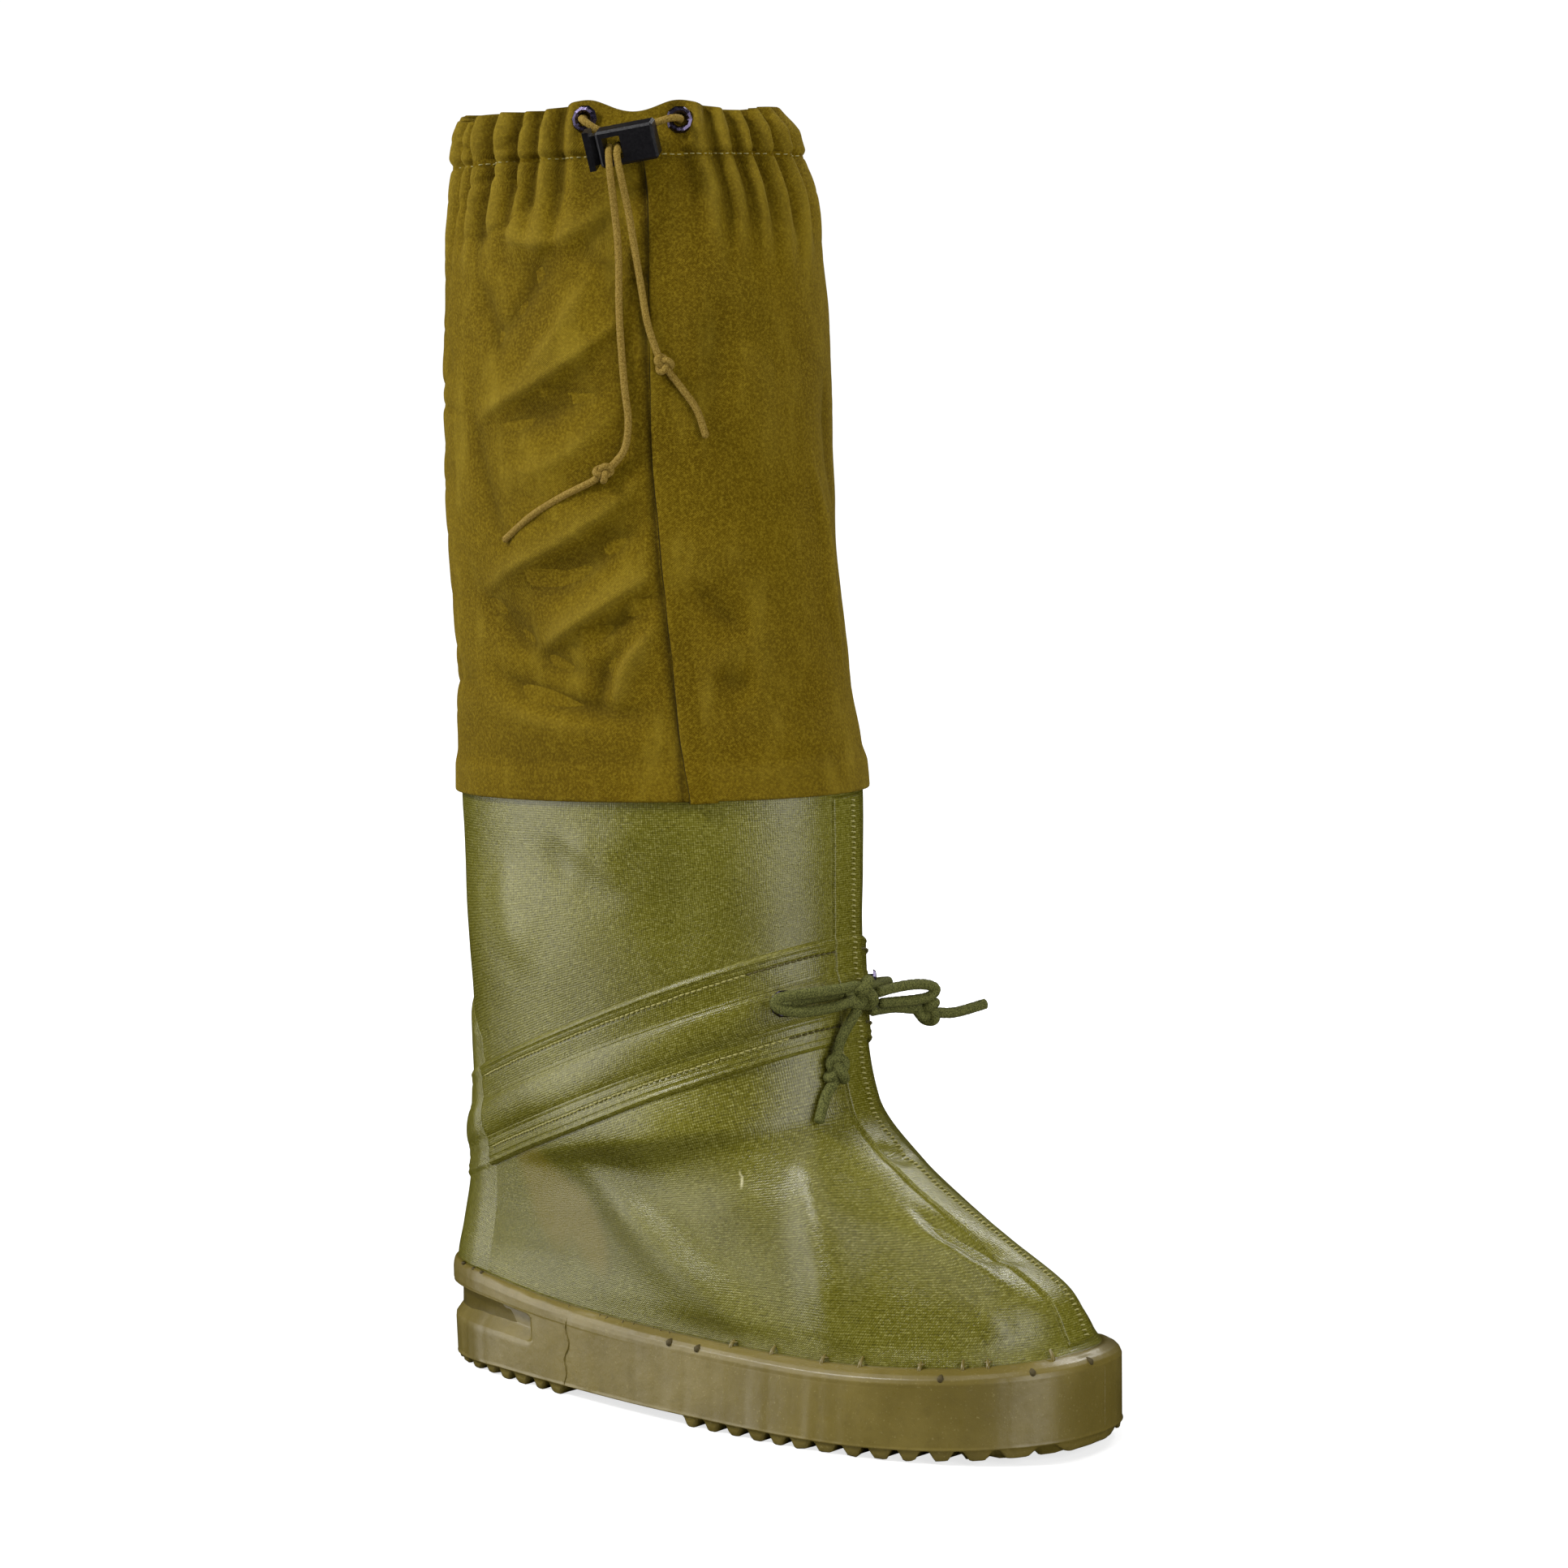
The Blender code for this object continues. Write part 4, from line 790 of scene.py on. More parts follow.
# Gathers that show best round the top: turn and half width in degrees, height, and reach downwards
SEEN_GATHERS = (
    (-132.0, 5.0, 0.0030, 0.030), (-124.5, 2.6, -0.0030, 0.030), (-119.0, 3.0, 0.0034, 0.040),
    (-112.5, 2.4, -0.0040, 0.044), (-105.0, 3.4, 0.0036, 0.038), (-99.0, 1.8, -0.0032, 0.030),
    (-94.5, 2.4, 0.0030, 0.030), (-90.5, 1.4, -0.0028, 0.026), (-86.0, 2.6, 0.0026, 0.034),
    (-81.0, 1.8, -0.0028, 0.040), (-76.0, 2.4, 0.0018, 0.022), (-37.0, 2.2, -0.0016, 0.030),
    (-30.5, 3.0, 0.0028, 0.034), (-26.0, 1.6, -0.0030, 0.044), (-21.0, 2.6, 0.0030, 0.034),
    (-17.0, 1.6, -0.0030, 0.040), (-12.5, 2.4, 0.0034, 0.044), (-8.0, 1.6, -0.0034, 0.034),
    (-2.5, 2.6, 0.0036, 0.046), (3.5, 1.8, -0.0034, 0.034), (9.5, 3.0, 0.0036, 0.046),
    (16.0, 2.4, -0.0030, 0.030),
)
HIDDEN_GATHERS = (23, 224)  # turns between which the other gathers stand
GATHER_STEP = 11.0


def all_gathers():
    """The gathers that show best, and on the rest of the ring uneven ridges and valleys a step apart."""
    chance = np.random.default_rng(5)
    rest = []
    for turn in np.arange(*HIDDEN_GATHERS, GATHER_STEP):
        turn = turn + chance.uniform(-2.0, 2.0)
        rest.append((turn, 3.2, chance.uniform(0.0022, 0.0036), chance.uniform(0.024, 0.044)))
        valley = turn + GATHER_STEP / 2
        rest.append((valley, 1.9, chance.uniform(-0.0034, -0.0018), chance.uniform(0.022, 0.040)))
    return SEEN_GATHERS + tuple(rest)


GATHERS = all_gathers()


def gather_lift(height, phi):
    """Folds round the drawn top. They fade downwards."""
    total = np.zeros(phi.shape)
    for turn, width, rise, reach in GATHERS:
        away = np.degrees(turned(phi, math.radians(turn)))
        down = np.clip((TUNNEL_SEAM - height) / reach, 0, None)
        total = total + rise * np.exp(-((np.abs(away) / width) ** 1.6)) * np.exp(-(down**2))
    return total


def creases(z, phi):
    """Depth of the fine slanting creases. They are strongest in the back panel, behind the side seam."""
    flat_map = np.stack((phi * LEG_RADIUS * 0.55 - z * 0.45, z + phi * LEG_RADIUS * 0.25, 0 * z), axis=-1)
    bend = flat_map + 0.010 * np.stack([noise(flat_map, 0.050, seed) for seed in (14, 15, 16)], axis=-1)
    sharp = 1 - np.abs(noise(bend, 0.026, 17))
    fine = 1 - np.abs(noise(bend * (1, 1.6, 1), 0.015, 19))
    where = smooth(noise(flat_map, 0.060, 18), -0.35, 0.45)
    turn = turned(phi, SEAM_TURN)
    strong = 0.25 + 0.75 * smooth(-turn, -0.05, 0.05) + 0.75 * smooth(turn, 1.6, 2.2)
    return (0.0016 * sharp**8 * where + 0.0004 * fine**4) * np.clip(strong, 0, 1)


def seam_distance(phi):
    """Distance of places on the shaft from the groove along the side seam."""
    return turned(phi, SEAM_TURN) * LEG_RADIUS + SEAM_GROOVE


def shaft_face(height, phi, lift=0.0):
    """Points of the shaft's outer face at heights measured at the leg's axis."""
    slope = column(SLOPES, SLOPE_COLUMNS, "slope", height)
    z = np.zeros(phi.shape) + height
    for _ in range(12):
        z = height + slope * (leg_section(z, phi)[0] - AXIS_X)
    z = z + top_edge(phi) * np.clip((height - TUNNEL_SEAM) / (SHAFT_TOP - TUNNEL_SEAM), 0, 1) ** 2
    points, normals = leg_point(z, phi), flat(leg_normal(z, phi))
    in_tunnel = smooth(height, TUNNEL_SEAM, TUNNEL_SEAM + 0.004)
    calm = smooth(height, HEM + HEM_HEIGHT + 0.006, HEM + HEM_HEIGHT + 0.024)
    low = 0.75 * np.exp(-((np.degrees(turned(phi, math.radians(BACK_CALM))) / BACK_CALM_HALF) ** 2))
    folds = fold_field(points, normals, SHAFT_FOLDS, 1.25) * 1.2 * (1 - low) - creases(z, phi)
    folds = folds + 0.0010 * noise(points, 0.050, 11) + 0.0004 * noise(points, 0.020, 12)
    front = np.exp(-((turned(phi, math.radians(22)) / 0.6) ** 2))
    curl = smooth(height, SHAFT_TOP - 0.011, SHAFT_TOP + 0.002) * (1.0 + 1.5 * front)
    out = GAP + SHAFT_WALL + lift + TUNNEL_LIFT * in_tunnel - 0.0030 * curl
    out = out + 1.25 * gather_lift(height, phi) * smooth(height, 0.46, 0.50)
    out = out - 0.0011 * np.exp(-((seam_distance(phi) / 0.0016) ** 2)) * (1 - in_tunnel) * calm
    hem = 1 - smooth(height, HEM + HEM_HEIGHT - 0.005, HEM + HEM_HEIGHT + 0.003)
    out = out + folds * calm + (HEM_STEP + 0.0004 * noise(points, 0.030, 13)) * hem
    out = out - 0.0009 * np.exp(-(((height - TUNNEL_SEAM) / 0.0012) ** 2))
    return points + normals * out[..., None]


def make_shaft(finish):
    low = HEM + np.array((0.0000, 0.0002, 0.0006, 0.0014))
    high = SHAFT_TOP - np.array((0.0008, 0.0003, 0.0))
    cloth = (HEM + 0.003, TUNNEL_SEAM - 0.003, 212), (TUNNEL_SEAM - 0.0022, SHAFT_TOP - 0.0016, 28)
    heights = np.concatenate((low, in_steps(*cloth), high))
    phi = np.broadcast_to(SHAFT_TURNS, (len(heights), SHAFT_COLUMNS))
    grid = np.broadcast_to(heights[:, None], phi.shape)
    lift = np.zeros(len(heights))
    lift[:4] = (-0.0012, -0.0005, -0.0001, 0.0)
    lift[-3:] = (-0.0001, -0.0003, -0.0008)
    outer = shaft_face(grid, phi, lift[:, None])
    inner_heights = np.linspace(SHAFT_TOP - 0.0006, HEM + 0.0004, SHAFT_INNER_ROWS)
    inner_grid = np.broadcast_to(inner_heights[:, None], (SHAFT_INNER_ROWS, SHAFT_COLUMNS))
    inward = -SHAFT_WALL - HEM_STEP * (inner_grid < HEM + HEM_HEIGHT)
    inner = shaft_face(inner_grid, phi[:SHAFT_INNER_ROWS], inward)
    # Ridges and hollows of the folds, kept for painted light on ridges and painted shade in creases.
    shades = relief(outer, 70, 0.0022)
    # A dark line along the side seam's groove: painted shadow.
    shades["seam_shadow"] = 0.6 * np.exp(-((seam_distance(phi) / 0.0009) ** 2)) * (grid < TUNNEL_SEAM)
    blank = np.zeros(inner_grid.shape)
    shades = {name: np.concatenate((values, blank)) for name, values in shades.items()}
    made = grid_object("cotton_shaft", np.concatenate((outer, inner)), finish, closed=True, shades=shades)
    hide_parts("shaft")


# Section across the side seam: distance to the front in metres, and height over the shaft
SEAM_SECTION = (
    (-0.0009, -0.0012), (-0.0007, -0.0004), (-0.0002, 0.0002), (0.0001, 0.0010), (0.0003, 0.0013),
    (0.0010, 0.0012), (0.0022, 0.0009), (0.0040, 0.0005), (0.0065, 0.0001), (0.0080, -0.0004),
)


def make_side_seam(finish):
    """The front panel's folded edge, which laps over the back panel."""
    heights = np.linspace(HEM - 0.0006, TUNNEL_SEAM - 0.001, 240)
    section = np.array(SEAM_SECTION)
    wave = 0.0006 * noise(np.stack((heights, 0 * heights, 0 * heights), axis=-1), 0.04, 21)
    wave = wave + 0.0012 * smooth(-heights, -HEM - 0.030, -HEM)
    phi = SEAM_TURN + (section[None, :, 0] + wave[:, None]) / LEG_RADIUS
    grid = np.broadcast_to(heights[:, None], phi.shape)
    rise = section[:, 1] * (1 + 0.8 * smooth(-grid, -HEM - 0.028, -HEM - 0.004))
    face = shaft_face(grid, phi, rise)
    back = shaft_face(grid, phi, -0.0009 + 0 * rise)[::-1]
    # The tucked-under columns are drawn dark: painted shadow under the lapping edge.
    dark = np.broadcast_to(np.where(section[:, 0] < 0.00025, 1.0, 0.0), grid.shape)
    shades = {"seam_shadow": np.concatenate((dark, dark))}
    points = np.concatenate((face, back))
    made = grid_object("shaft_side_seam", points, finish, around=False, closed=True, shades=shades)
    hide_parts("side_seam")


# ---- sole ----
SOLE_COLUMNS = 640
POCKET_MIDDLE, POCKET_HALF = 0.0172, 0.0072  # the heel groove's middle under the rim, and half its height
POCKET_DEPTH = 0.0046
POCKET_CORNER = 0.0028
LEDGE_DROP = 0.006  # distance under the rim from which the side wall slants in to the tread
HEEL_BLEND = (0.038, 0.068)  # x between which the wall's section at the heel goes over into the one ahead
BREAST = 0.054  # x of the heel's breast, where the mould line runs
BOOT_OVERLAP = 0.0007  # how far the sole's inner face lies inside the boot's skin

# Side wall under the rim: distance from it, and share of the bulge, first along the foot and then at the heel
LEDGE = ((0.0000, 0.00), (0.0003, 0.14), (0.0022, 0.62), (0.0042, 0.88), (0.0065, 1.00), (0.0090, 1.0))
COLLAR = ((0.0000, 0.00), (0.0003, 0.30), (0.0012, 0.70), (0.0028, 0.97), (0.0045, 1.08), (0.0090, 1.0))


def sole_turns():
    """Turns a like distance apart round the rim."""
    fine = np.linspace(-math.pi, math.pi, 4001)
    ring = offset_wall(wall_ring(1.0, fine), fine, 0.0)
    done = run_along(ring)
    return np.interp(np.arange(SOLE_COLUMNS) / SOLE_COLUMNS * done[-1], done, fine)


def tooth(x, side):
    """Share of a tread bar's depth at places along the sole. side is 1 on the inner edge, -1 on the outer."""
    chance = np.random.default_rng(17)
    total = np.zeros(np.broadcast(x, side).shape)
    heel = [i * LUG_PITCH for i in HEEL_LUGS]
    forefoot = [FIRST_FOREFOOT_LUG + i * LUG_PITCH for i in range(FOREFOOT_LUGS)]
    for place in heel + forefoot:
        place = place + chance.uniform(-0.0007, 0.0007) * (1 - side) / 2
        half = 0.0036 + chance.uniform(-0.0005, 0.0005)
        total = np.maximum(total, smooth(half - np.abs(x - place), -0.0012, 0.0018))
    return total


def pocket(x, drop):
    """Share of the groove's depth at distances under the rim. Its floor slopes out again at the bottom."""
    room = POCKET_HALF - np.abs(drop - POCKET_MIDDLE)
    ahead = GROOVE_END - x
    past = [np.clip(POCKET_CORNER - part, 0, None) for part in (room, ahead)]
    corner = POCKET_CORNER - np.hypot(*past)
    inside = np.minimum(np.minimum(room, ahead), corner)
    ramp = np.clip((POCKET_MIDDLE + POCKET_HALF - drop) / 0.0060, 0.12, 1)
    return smooth(inside, 0.0, 0.0008) * ramp


def side_wall(x, drop, rim_z, z, base, share):
    """How far the side wall stands out at heights z, and their share of the way from ledge to foot."""
    bulge, tread = rim_value("bulge", x), rim_value("tread", x)
    down = np.clip((rim_z - LEDGE_DROP - z) / (rim_z - LEDGE_DROP - base), 0, 1)
    return np.where(drop < 0.009, RIM_LIP + (bulge - RIM_LIP) * share, bulge + (tread - bulge) * down), down


def wall_rows(x, rim_z, base_z, ring):
    """Rings of the side wall from its rim down to its foot."""
    rim = ring(rim_z, 0)
    wavy = 0.0003 * noise(rim, 0.011, 31) + 0.0002 * noise(rim, 0.004, 32)
    heel = 1 - smooth(x, *HEEL_BLEND)
    drops = in_steps((0, 0.0009, 4), (0.0014, 0.0240, 60), (0.026, 0.040, 12))
    rows = [ring(rim_z, 0.0004)]
    for drop in drops:
        along, behind = (np.interp(drop, *np.array(table).T) for table in (LEDGE, COLLAR))
        z = rim_z - drop * (rim_z - base_z - 0.0008) / drops[-1]
        lift, down = side_wall(x, drop, rim_z, z, base_z, along * (1 - heel) + behind * heel)
        lift = lift - POCKET_DEPTH * pocket(x, drop) + wavy * (0.4 + 0.6 * down)
        rows.append(ring(z + wavy * (drop < 0.001), lift))
    return rows


def tread_rows(x, phi, rim, base_z, middle_y, ring):
    """Rings of the tread's edge, and then of its underside up to the line under the middle of the foot."""
    tread = rim_value("tread", x)
    side = np.where(phi < 0, -1, 1)
    depth = spring(x) - base_z
    low = base_z + (depth + 0.0006 * noise(rim, 0.006, 33)) * tooth(x, side)
    rows = [ring(base_z + 0.0004, tread + 0.0003), ring(base_z, tread - 0.0004)]
    for share, inset in ((0.4, 0.0007), (0.8, 0.0010), (0.97, 0.0016), (1.0, 0.0028)):
        rows.append(ring(base_z * (1 - share) + low * share, tread - inset))
    edge = rows[-1]
    for share in (0.08, 0.25, 0.5, 0.75, 1.0):
        inner = edge.copy()
        inner[:, 1] = edge[:, 1] * (1 - share) + middle_y * share
        inner[:, 2] = base_z + depth * tooth(inner[:, 0], side)
        rows.append(inner)
    return rows


def make_sole(finish):
    phi = sole_turns()
    rim_z = wall_ring(1.0, phi)
    x = leg_section(rim_z, phi)[0]
    base_z = LUG_DEPTH + spring(x) - HEEL_DROP * np.clip((0.010 - x) / 0.040, 0, 1)
    middle_y = 0.014 * np.clip((x - 0.06) / 0.2, 0, 1) ** 2

    def ring(z, lift):
        return offset_wall(rim_z, phi, lift) * (1, 1, 0) + np.stack((0 * z, 0 * z, z), axis=-1)

    footbed_z = boot_levels(phi)[0]
    top = ring(footbed_z, -BOOT_OVERLAP)
    rows = [top, ring(rim_z - 0.003, -BOOT_OVERLAP), ring(rim_z - 0.0008, -0.0004)]
    rows += wall_rows(x, rim_z, base_z, ring)
    rows += tread_rows(x, phi, ring(rim_z, 0), base_z, middle_y, ring)
    rows.append(np.stack((top[:, 0], middle_y, top[:, 2]), axis=-1))
    made = grid_object("rubber_outsole", np.array(rows)[::-1], finish, closed=True)
    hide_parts("outsole")


# Marks along the outer rim, by x. Nibs stand up from it. Plugs under it and nicks and pits in it are dark
# marks: painted shade of its holes and cuts
NIBS = (0.1444, 0.1651, 0.1897, 0.2072, 0.2315, 0.2469, 0.2548, 0.2703)
NIB_HEIGHTS = (0.0022, 0.0030, 0.0026, 0.0034)
PLUGS = (0.1299, 0.2401, 0.2659, 0.2743, 0.1150)
NICKS = (0.0537, 0.0622, 0.0723, 0.0768, 0.0857, 0.0920, 0.1027, 0.1070, 0.1115)
HEEL_PITS = (-0.0228, -0.0128, -0.0060)


def rim_turn(x):
    """Turn of the outer rim's point at x."""
    fine = np.radians(np.linspace(-180, -1, 1400))
    return np.interp(x, leg_section(wall_ring(1.0, fine), fine)[0], fine)


def rim_point(phi, drop, lift):
    phi = np.atleast_1d(np.asarray(phi, float))
    z = wall_ring(1.0, phi)
    return (offset_wall(z, phi, lift) - (0, 0, drop))[0]


def rim_out(phi):
    """The way out from the rim at a turn, level."""
    return flat(leg_normal(np.array([0.05]), np.array([phi])))[0]


def make_rim_marks(rubber, dark):
    nibs, plugs, cuts = [], [], []
    up = np.array((0, 0, 1))
    for number, x in enumerate(NIBS):
        phi = rim_turn(x)
        out = rim_out(phi)
        tall = NIB_HEIGHTS[number % len(NIB_HEIGHTS)]
        start, end = rim_point(phi, 0.0024, RIM_LIP + 0.0004), rim_point(phi, -tall, 0.0006)
        nibs.append(stitch_part(start, end, out, 0.0017, 8, 8))
        ahead = rim_point(phi + 0.01, 0, 0) - rim_point(phi - 0.01, 0, 0)
        ahead /= np.linalg.norm(ahead)
        if number % 2 == 0:
            top = rim_point(phi, -tall * 0.7, 0.0008)
            nibs.append(stitch_part(top - ahead * 0.0013, top + ahead * 0.0016, out, 0.0011, 8, 6))
    for x in PLUGS:
        phi = rim_turn(x)
        middle = rim_point(phi, 0.0030, 0.0056 if x > 0.2 else 0.0050)
        plugs.append(stitch_part(middle - up * 0.0009, middle + up * 0.0009, rim_out(phi), 0.0026, 10, 8))
    for number, x in enumerate(NICKS):
        phi = rim_turn(x)
        lean = 0.006 * (-1) ** number
        start, end = rim_point(phi, -0.0002, RIM_LIP), rim_point(phi + lean, 0.0030, 0.0042)
        cuts.append(stitch_part(start, end, rim_out(phi) * 0.2, 0.0006))
    for x in HEEL_PITS:
        middle = rim_point(rim_turn(x), 0.0002, RIM_LIP + 0.0002)
        cuts.append(stitch_part(middle - up * 0.0006, middle + up * 0.0007, (0, 0, 0), 0.0022, 8, 6))
    # Plugs, nicks and pits take the dark finish: painted shade of holes and cuts.
    marks = (("rim_nibs", nibs, rubber), ("rim_plugs", plugs, dark), ("rim_nicks", cuts, dark))
    for name, parts, finish in marks:
        join_meshes(name, parts, finish)


MOULD_STEPS = 60


def make_mould_lines(finish):
    """The mould's seams, down the side wall at the heel's breast and at the toe."""
    parts = []
    steps = np.linspace(0, 1, MOULD_STEPS)
    for phi, wave, thick in ((rim_turn(BREAST), 1 / 60, 0.0009), (math.radians(4.3), 1 / 300, 0.0007)):
        at = phi + wave * (0.3 * np.sin(17 * steps) + 0.5 * np.sin(5 * steps))
        rim_z = wall_ring(1.0, at)
        x = leg_section(rim_z, at)[0]
        base = LUG_DEPTH + spring(x)
        z = rim_z - (rim_z - base) * steps
        share = np.interp(rim_z - z, *np.array(LEDGE).T)
        lift = side_wall(x, rim_z - z, rim_z, z, base, share)[0]
        points = offset_wall(rim_z, at, lift) * (1, 1, 0) + np.stack((0 * z, 0 * z, z), axis=-1)
        uneven = np.random.default_rng(23).uniform(0.5, 1.1, (MOULD_STEPS, 1))
        wide = thick / 2 * uneven * np.sin(math.pi * (0.03 + 0.94 * steps))[:, None] ** 0.3
        parts.append(tube_part(points, wide, 8))
    join_meshes("mould_lines", parts, finish)


# ---- stitches ----
def stitch_part(start, end, out, thick, sides=6, rings=6):
    """Points and faces of one stitch: a thread that comes out of the cloth and goes in again."""
    start, end, out = (np.asarray(value, float) for value in (start, end, out))
    share = np.linspace(0, 1, rings)[:, None]
    middle = start + (end - start) * share + out * (thick * 1.1 * np.sin(math.pi * share) - thick * 0.4)
    return tube_part(middle, thick / 2 * np.sin(math.pi * (0.12 + 0.76 * share)) ** 0.5, sides)


def make_tunnel_stitches(finish):
    """The row of stitches under the drawcord's tunnel."""
    pitch, length = 0.0031, 0.0024
    fine = np.linspace(-math.pi, math.pi, 2000)
    line = shaft_face(np.full(fine.shape, TUNNEL_SEAM), fine, 0.0001)
    done = run_along(line)
    places = np.arange(0, done[-1] - pitch, pitch)
    turns = np.interp(np.stack((places, places + length)), done, fine)
    heights = TUNNEL_SEAM + np.random.default_rng(7).uniform(-0.0002, 0.0002, turns.shape)
    starts, ends = shaft_face(heights, turns, 0.0003)
    out = flat(leg_normal(heights[0], turns[0]))
    parts = [stitch_part(*row, 0.0006) for row in zip(starts, ends, out)]
    join_meshes("tunnel_stitches", parts, finish)


def make_band_stitches(pale, dark):
    """Stitches along both flanges of the ankle band. Near the front they are drawn dark: painted shade in
    their holes.
    """
    pitch, length = 0.0027, 0.0020
    found = {"pale": [], "dark": []}
    chance = np.random.default_rng(8)
    for height, side in itertools.product(BAND_STITCH, (-1, 1)):
        first = TAPE_SHIFT * side + TAPE_HALF
        start = abs(arc_turns(lambda turn: slope_ring(height, BAND_SLOPE, turn), side * first))
        fine = side * np.linspace(start, math.pi - COUNTER_TURN, 1200)
        line_z = slope_ring(height, BAND_SLOPE, fine)
        done = run_along(leg_point(line_z, fine))
        places = np.arange(0, done[-1] - pitch, pitch)
        lift = OVERLAY_GAP + band_lift(np.array([height]))[0] + 0.0003
        ends = []
        for place in (places, places + length):
            turns = np.interp(place, done, fine)
            z = np.interp(place, done, line_z) + chance.uniform(-0.0002, 0.0002, len(place))
            ends.append(on_boot(z, turns, lift))
        turns = np.interp(places, done, fine)
        out = leg_normal(np.interp(places, done, line_z), turns)
        # Stitches nearer the front than this turn take the dark finish: painted shade in their holes.
        dark_turn = DARK_STITCH_TURNS[height]
        for a, b, way, turn in zip(*ends, out, np.degrees(turns)):
            name = "dark" if abs(turn) < dark_turn else "pale"
            found[name].append(stitch_part(a, b, way, 0.0008 if name == "pale" else 0.0010))
    for name, finish in (("pale", pale), ("dark", dark)):
        join_meshes(f"band_stitches_{name}", found[name], finish)


def make_tape_stitches(finish):
    """Zig-zag stitches down the front seam."""
    pitch, half = 0.0022, 0.0016
    line_z, line_phi = tape_line(np.array([TAPE_SHIFT + TAPE_HALF * TAPE_STITCH]), 900)
    line_z, line_phi = line_z[:, 0], line_phi[:, 0]
    done = run_along(leg_point(line_z, line_phi))
    places = np.arange(pitch, done[-1] - pitch, pitch)
    places = np.stack((places, places + 0.35 * pitch))
    z, phi = np.interp(places, done, line_z), np.interp(places, done, line_phi)
    starts, ends = on_boot(z, phi, OVERLAY_GAP + over_band(z, phi) + 0.0001)
    out = leg_normal(z[0], phi[0])
    ahead = ends - starts
    across = np.cross(out, ahead / np.linalg.norm(ahead, axis=1, keepdims=True))
    reach = half * np.random.default_rng(9).uniform(0.6, 1.2, (2, len(starts), 1))
    rows = zip(starts - across * reach[0], ends + across * reach[1], out)
    made = join_meshes("front_seam_stitches", [stitch_part(*row, 0.0008) for row in rows], finish)


# ---- cords ----
def tube_rings(points, radius, sides):
    """Rings of points round a line, turned as little as they can be."""
    points = np.asarray(points, float)
    ahead = np.gradient(points, axis=0)
    ahead /= np.linalg.norm(ahead, axis=1, keepdims=True)
    across = np.cross(ahead[0], (0.3, 0.2, 0.93))
    across /= np.linalg.norm(across)
    turns = np.arange(sides) * 2 * math.pi / sides
    rings, radius = [], np.broadcast_to(radius, (len(points), sides))
    for point, way, wide in zip(points, ahead, radius):
        across = across - way * (across @ way)
        across /= np.linalg.norm(across)
        up = np.cross(way, across)
        rings.append(point + wide[:, None] * (np.cos(turns)[:, None] * across + np.sin(turns)[:, None] * up))
    return np.array(rings)


def tube_part(points, radius, sides):
    """Points and faces of an open tube round a line."""
    rings = tube_rings(points, radius, sides)
    return rings.reshape(-1, 3), grid_faces(len(rings), sides, True, False)[0]


CORD_STEP, CORD_SIDES = 0.0005, 24
STRANDS = 8
DRAWCORD_BRAID, LACE_BRAID = 0.0022, 0.0042  # length in which a strand winds round once


def braid(length, count, thick, pitch):
    """Radii of a braided cord along a length: strands wind both ways, over and under each other."""
    along = 2 * math.pi * np.linspace(0, length, count)[:, None] / pitch
    turn = STRANDS * np.arange(CORD_SIDES)[None] * 2 * math.pi / CORD_SIDES
    left, right = turn + along, turn - along
    over = np.sin(left / 2) * np.sin(right / 2) > 0
    ridge = np.where(over, np.abs(np.cos(left / 2)), np.abs(np.cos(right / 2)))
    return thick / 2 * (0.90 + 0.12 * ridge)


def cord_mesh(name, route, thick, pitch, finish):
    """A braided cord along a route with rounded ends, its middle line and its length."""
    points = curve_points(route, CORD_STEP)
    length = np.linalg.norm(np.diff(points, axis=0), axis=1).sum()
    radius = braid(length, len(points), thick, pitch)
    ends = np.minimum(np.arange(len(points)), np.arange(len(points))[::-1])[:, None]
    radius = radius * np.sqrt(np.clip(ends / 2.0, 0.02, 1))
    return grid_object(name, tube_rings(points, radius, CORD_SIDES)[::-1], finish), points, length


def knot_mesh(name, node, place, along, thick, finish):
    """A pulled-tight overhand knot round a cord: its strand goes over and under itself."""
    t = np.linspace(0, 2 * math.pi, 97)[:-1]
    x, y = np.sin(t) + 2 * np.sin(2 * t), np.cos(t) - 2 * np.cos(2 * t)
    line = np.stack((-1.35 * np.sin(3 * t), x, 1.05 * y), axis=-1) * thick * 0.36
    matrix = np.array(place_frame(Vector(place), Vector(along), (0.31, 0.2, 0.93)))
    line = line @ matrix[:3, :3].T + matrix[:3, 3]
    points, _ = tube_part(np.concatenate((line, line[:2])), thick * 0.47, 14)
    made = join_meshes(name, [(points[:-14], grid_faces(len(line) + 1, 14, True, False)[0])], finish)
    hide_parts(node)
    return made


def make_drawcord(finish):
    made = cord_mesh("drawcord_bar", leg_route(DRAWCORD_ROUTE), DRAWCORD, DRAWCORD_BRAID, finish)[0]
    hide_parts("drawcord")
    runs = {"long": (LONG_END, LONG_KNOT, LONG_TAIL), "short": (SHORT_END, SHORT_KNOT, SHORT_TAIL)}
    for name, (end, middle, tail) in runs.items():
        route = leg_route([*end, middle, *tail])
        made, points, length = cord_mesh(f"drawcord_run_{name}", route, DRAWCORD, DRAWCORD_BRAID, finish)
        node = f"drawcord_{name}"
        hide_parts(f"{node}_end", f"{node}_tail")
        before, place, after = leg_route([end[-1], middle, tail[0]])
        knot = knot_mesh(f"cord_knot_{name}", f"{node}_knot", place, after - before, DRAWCORD, finish)
        declare_cord(made, points, length)


def declare_cord(made, points, length):
    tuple(points[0])


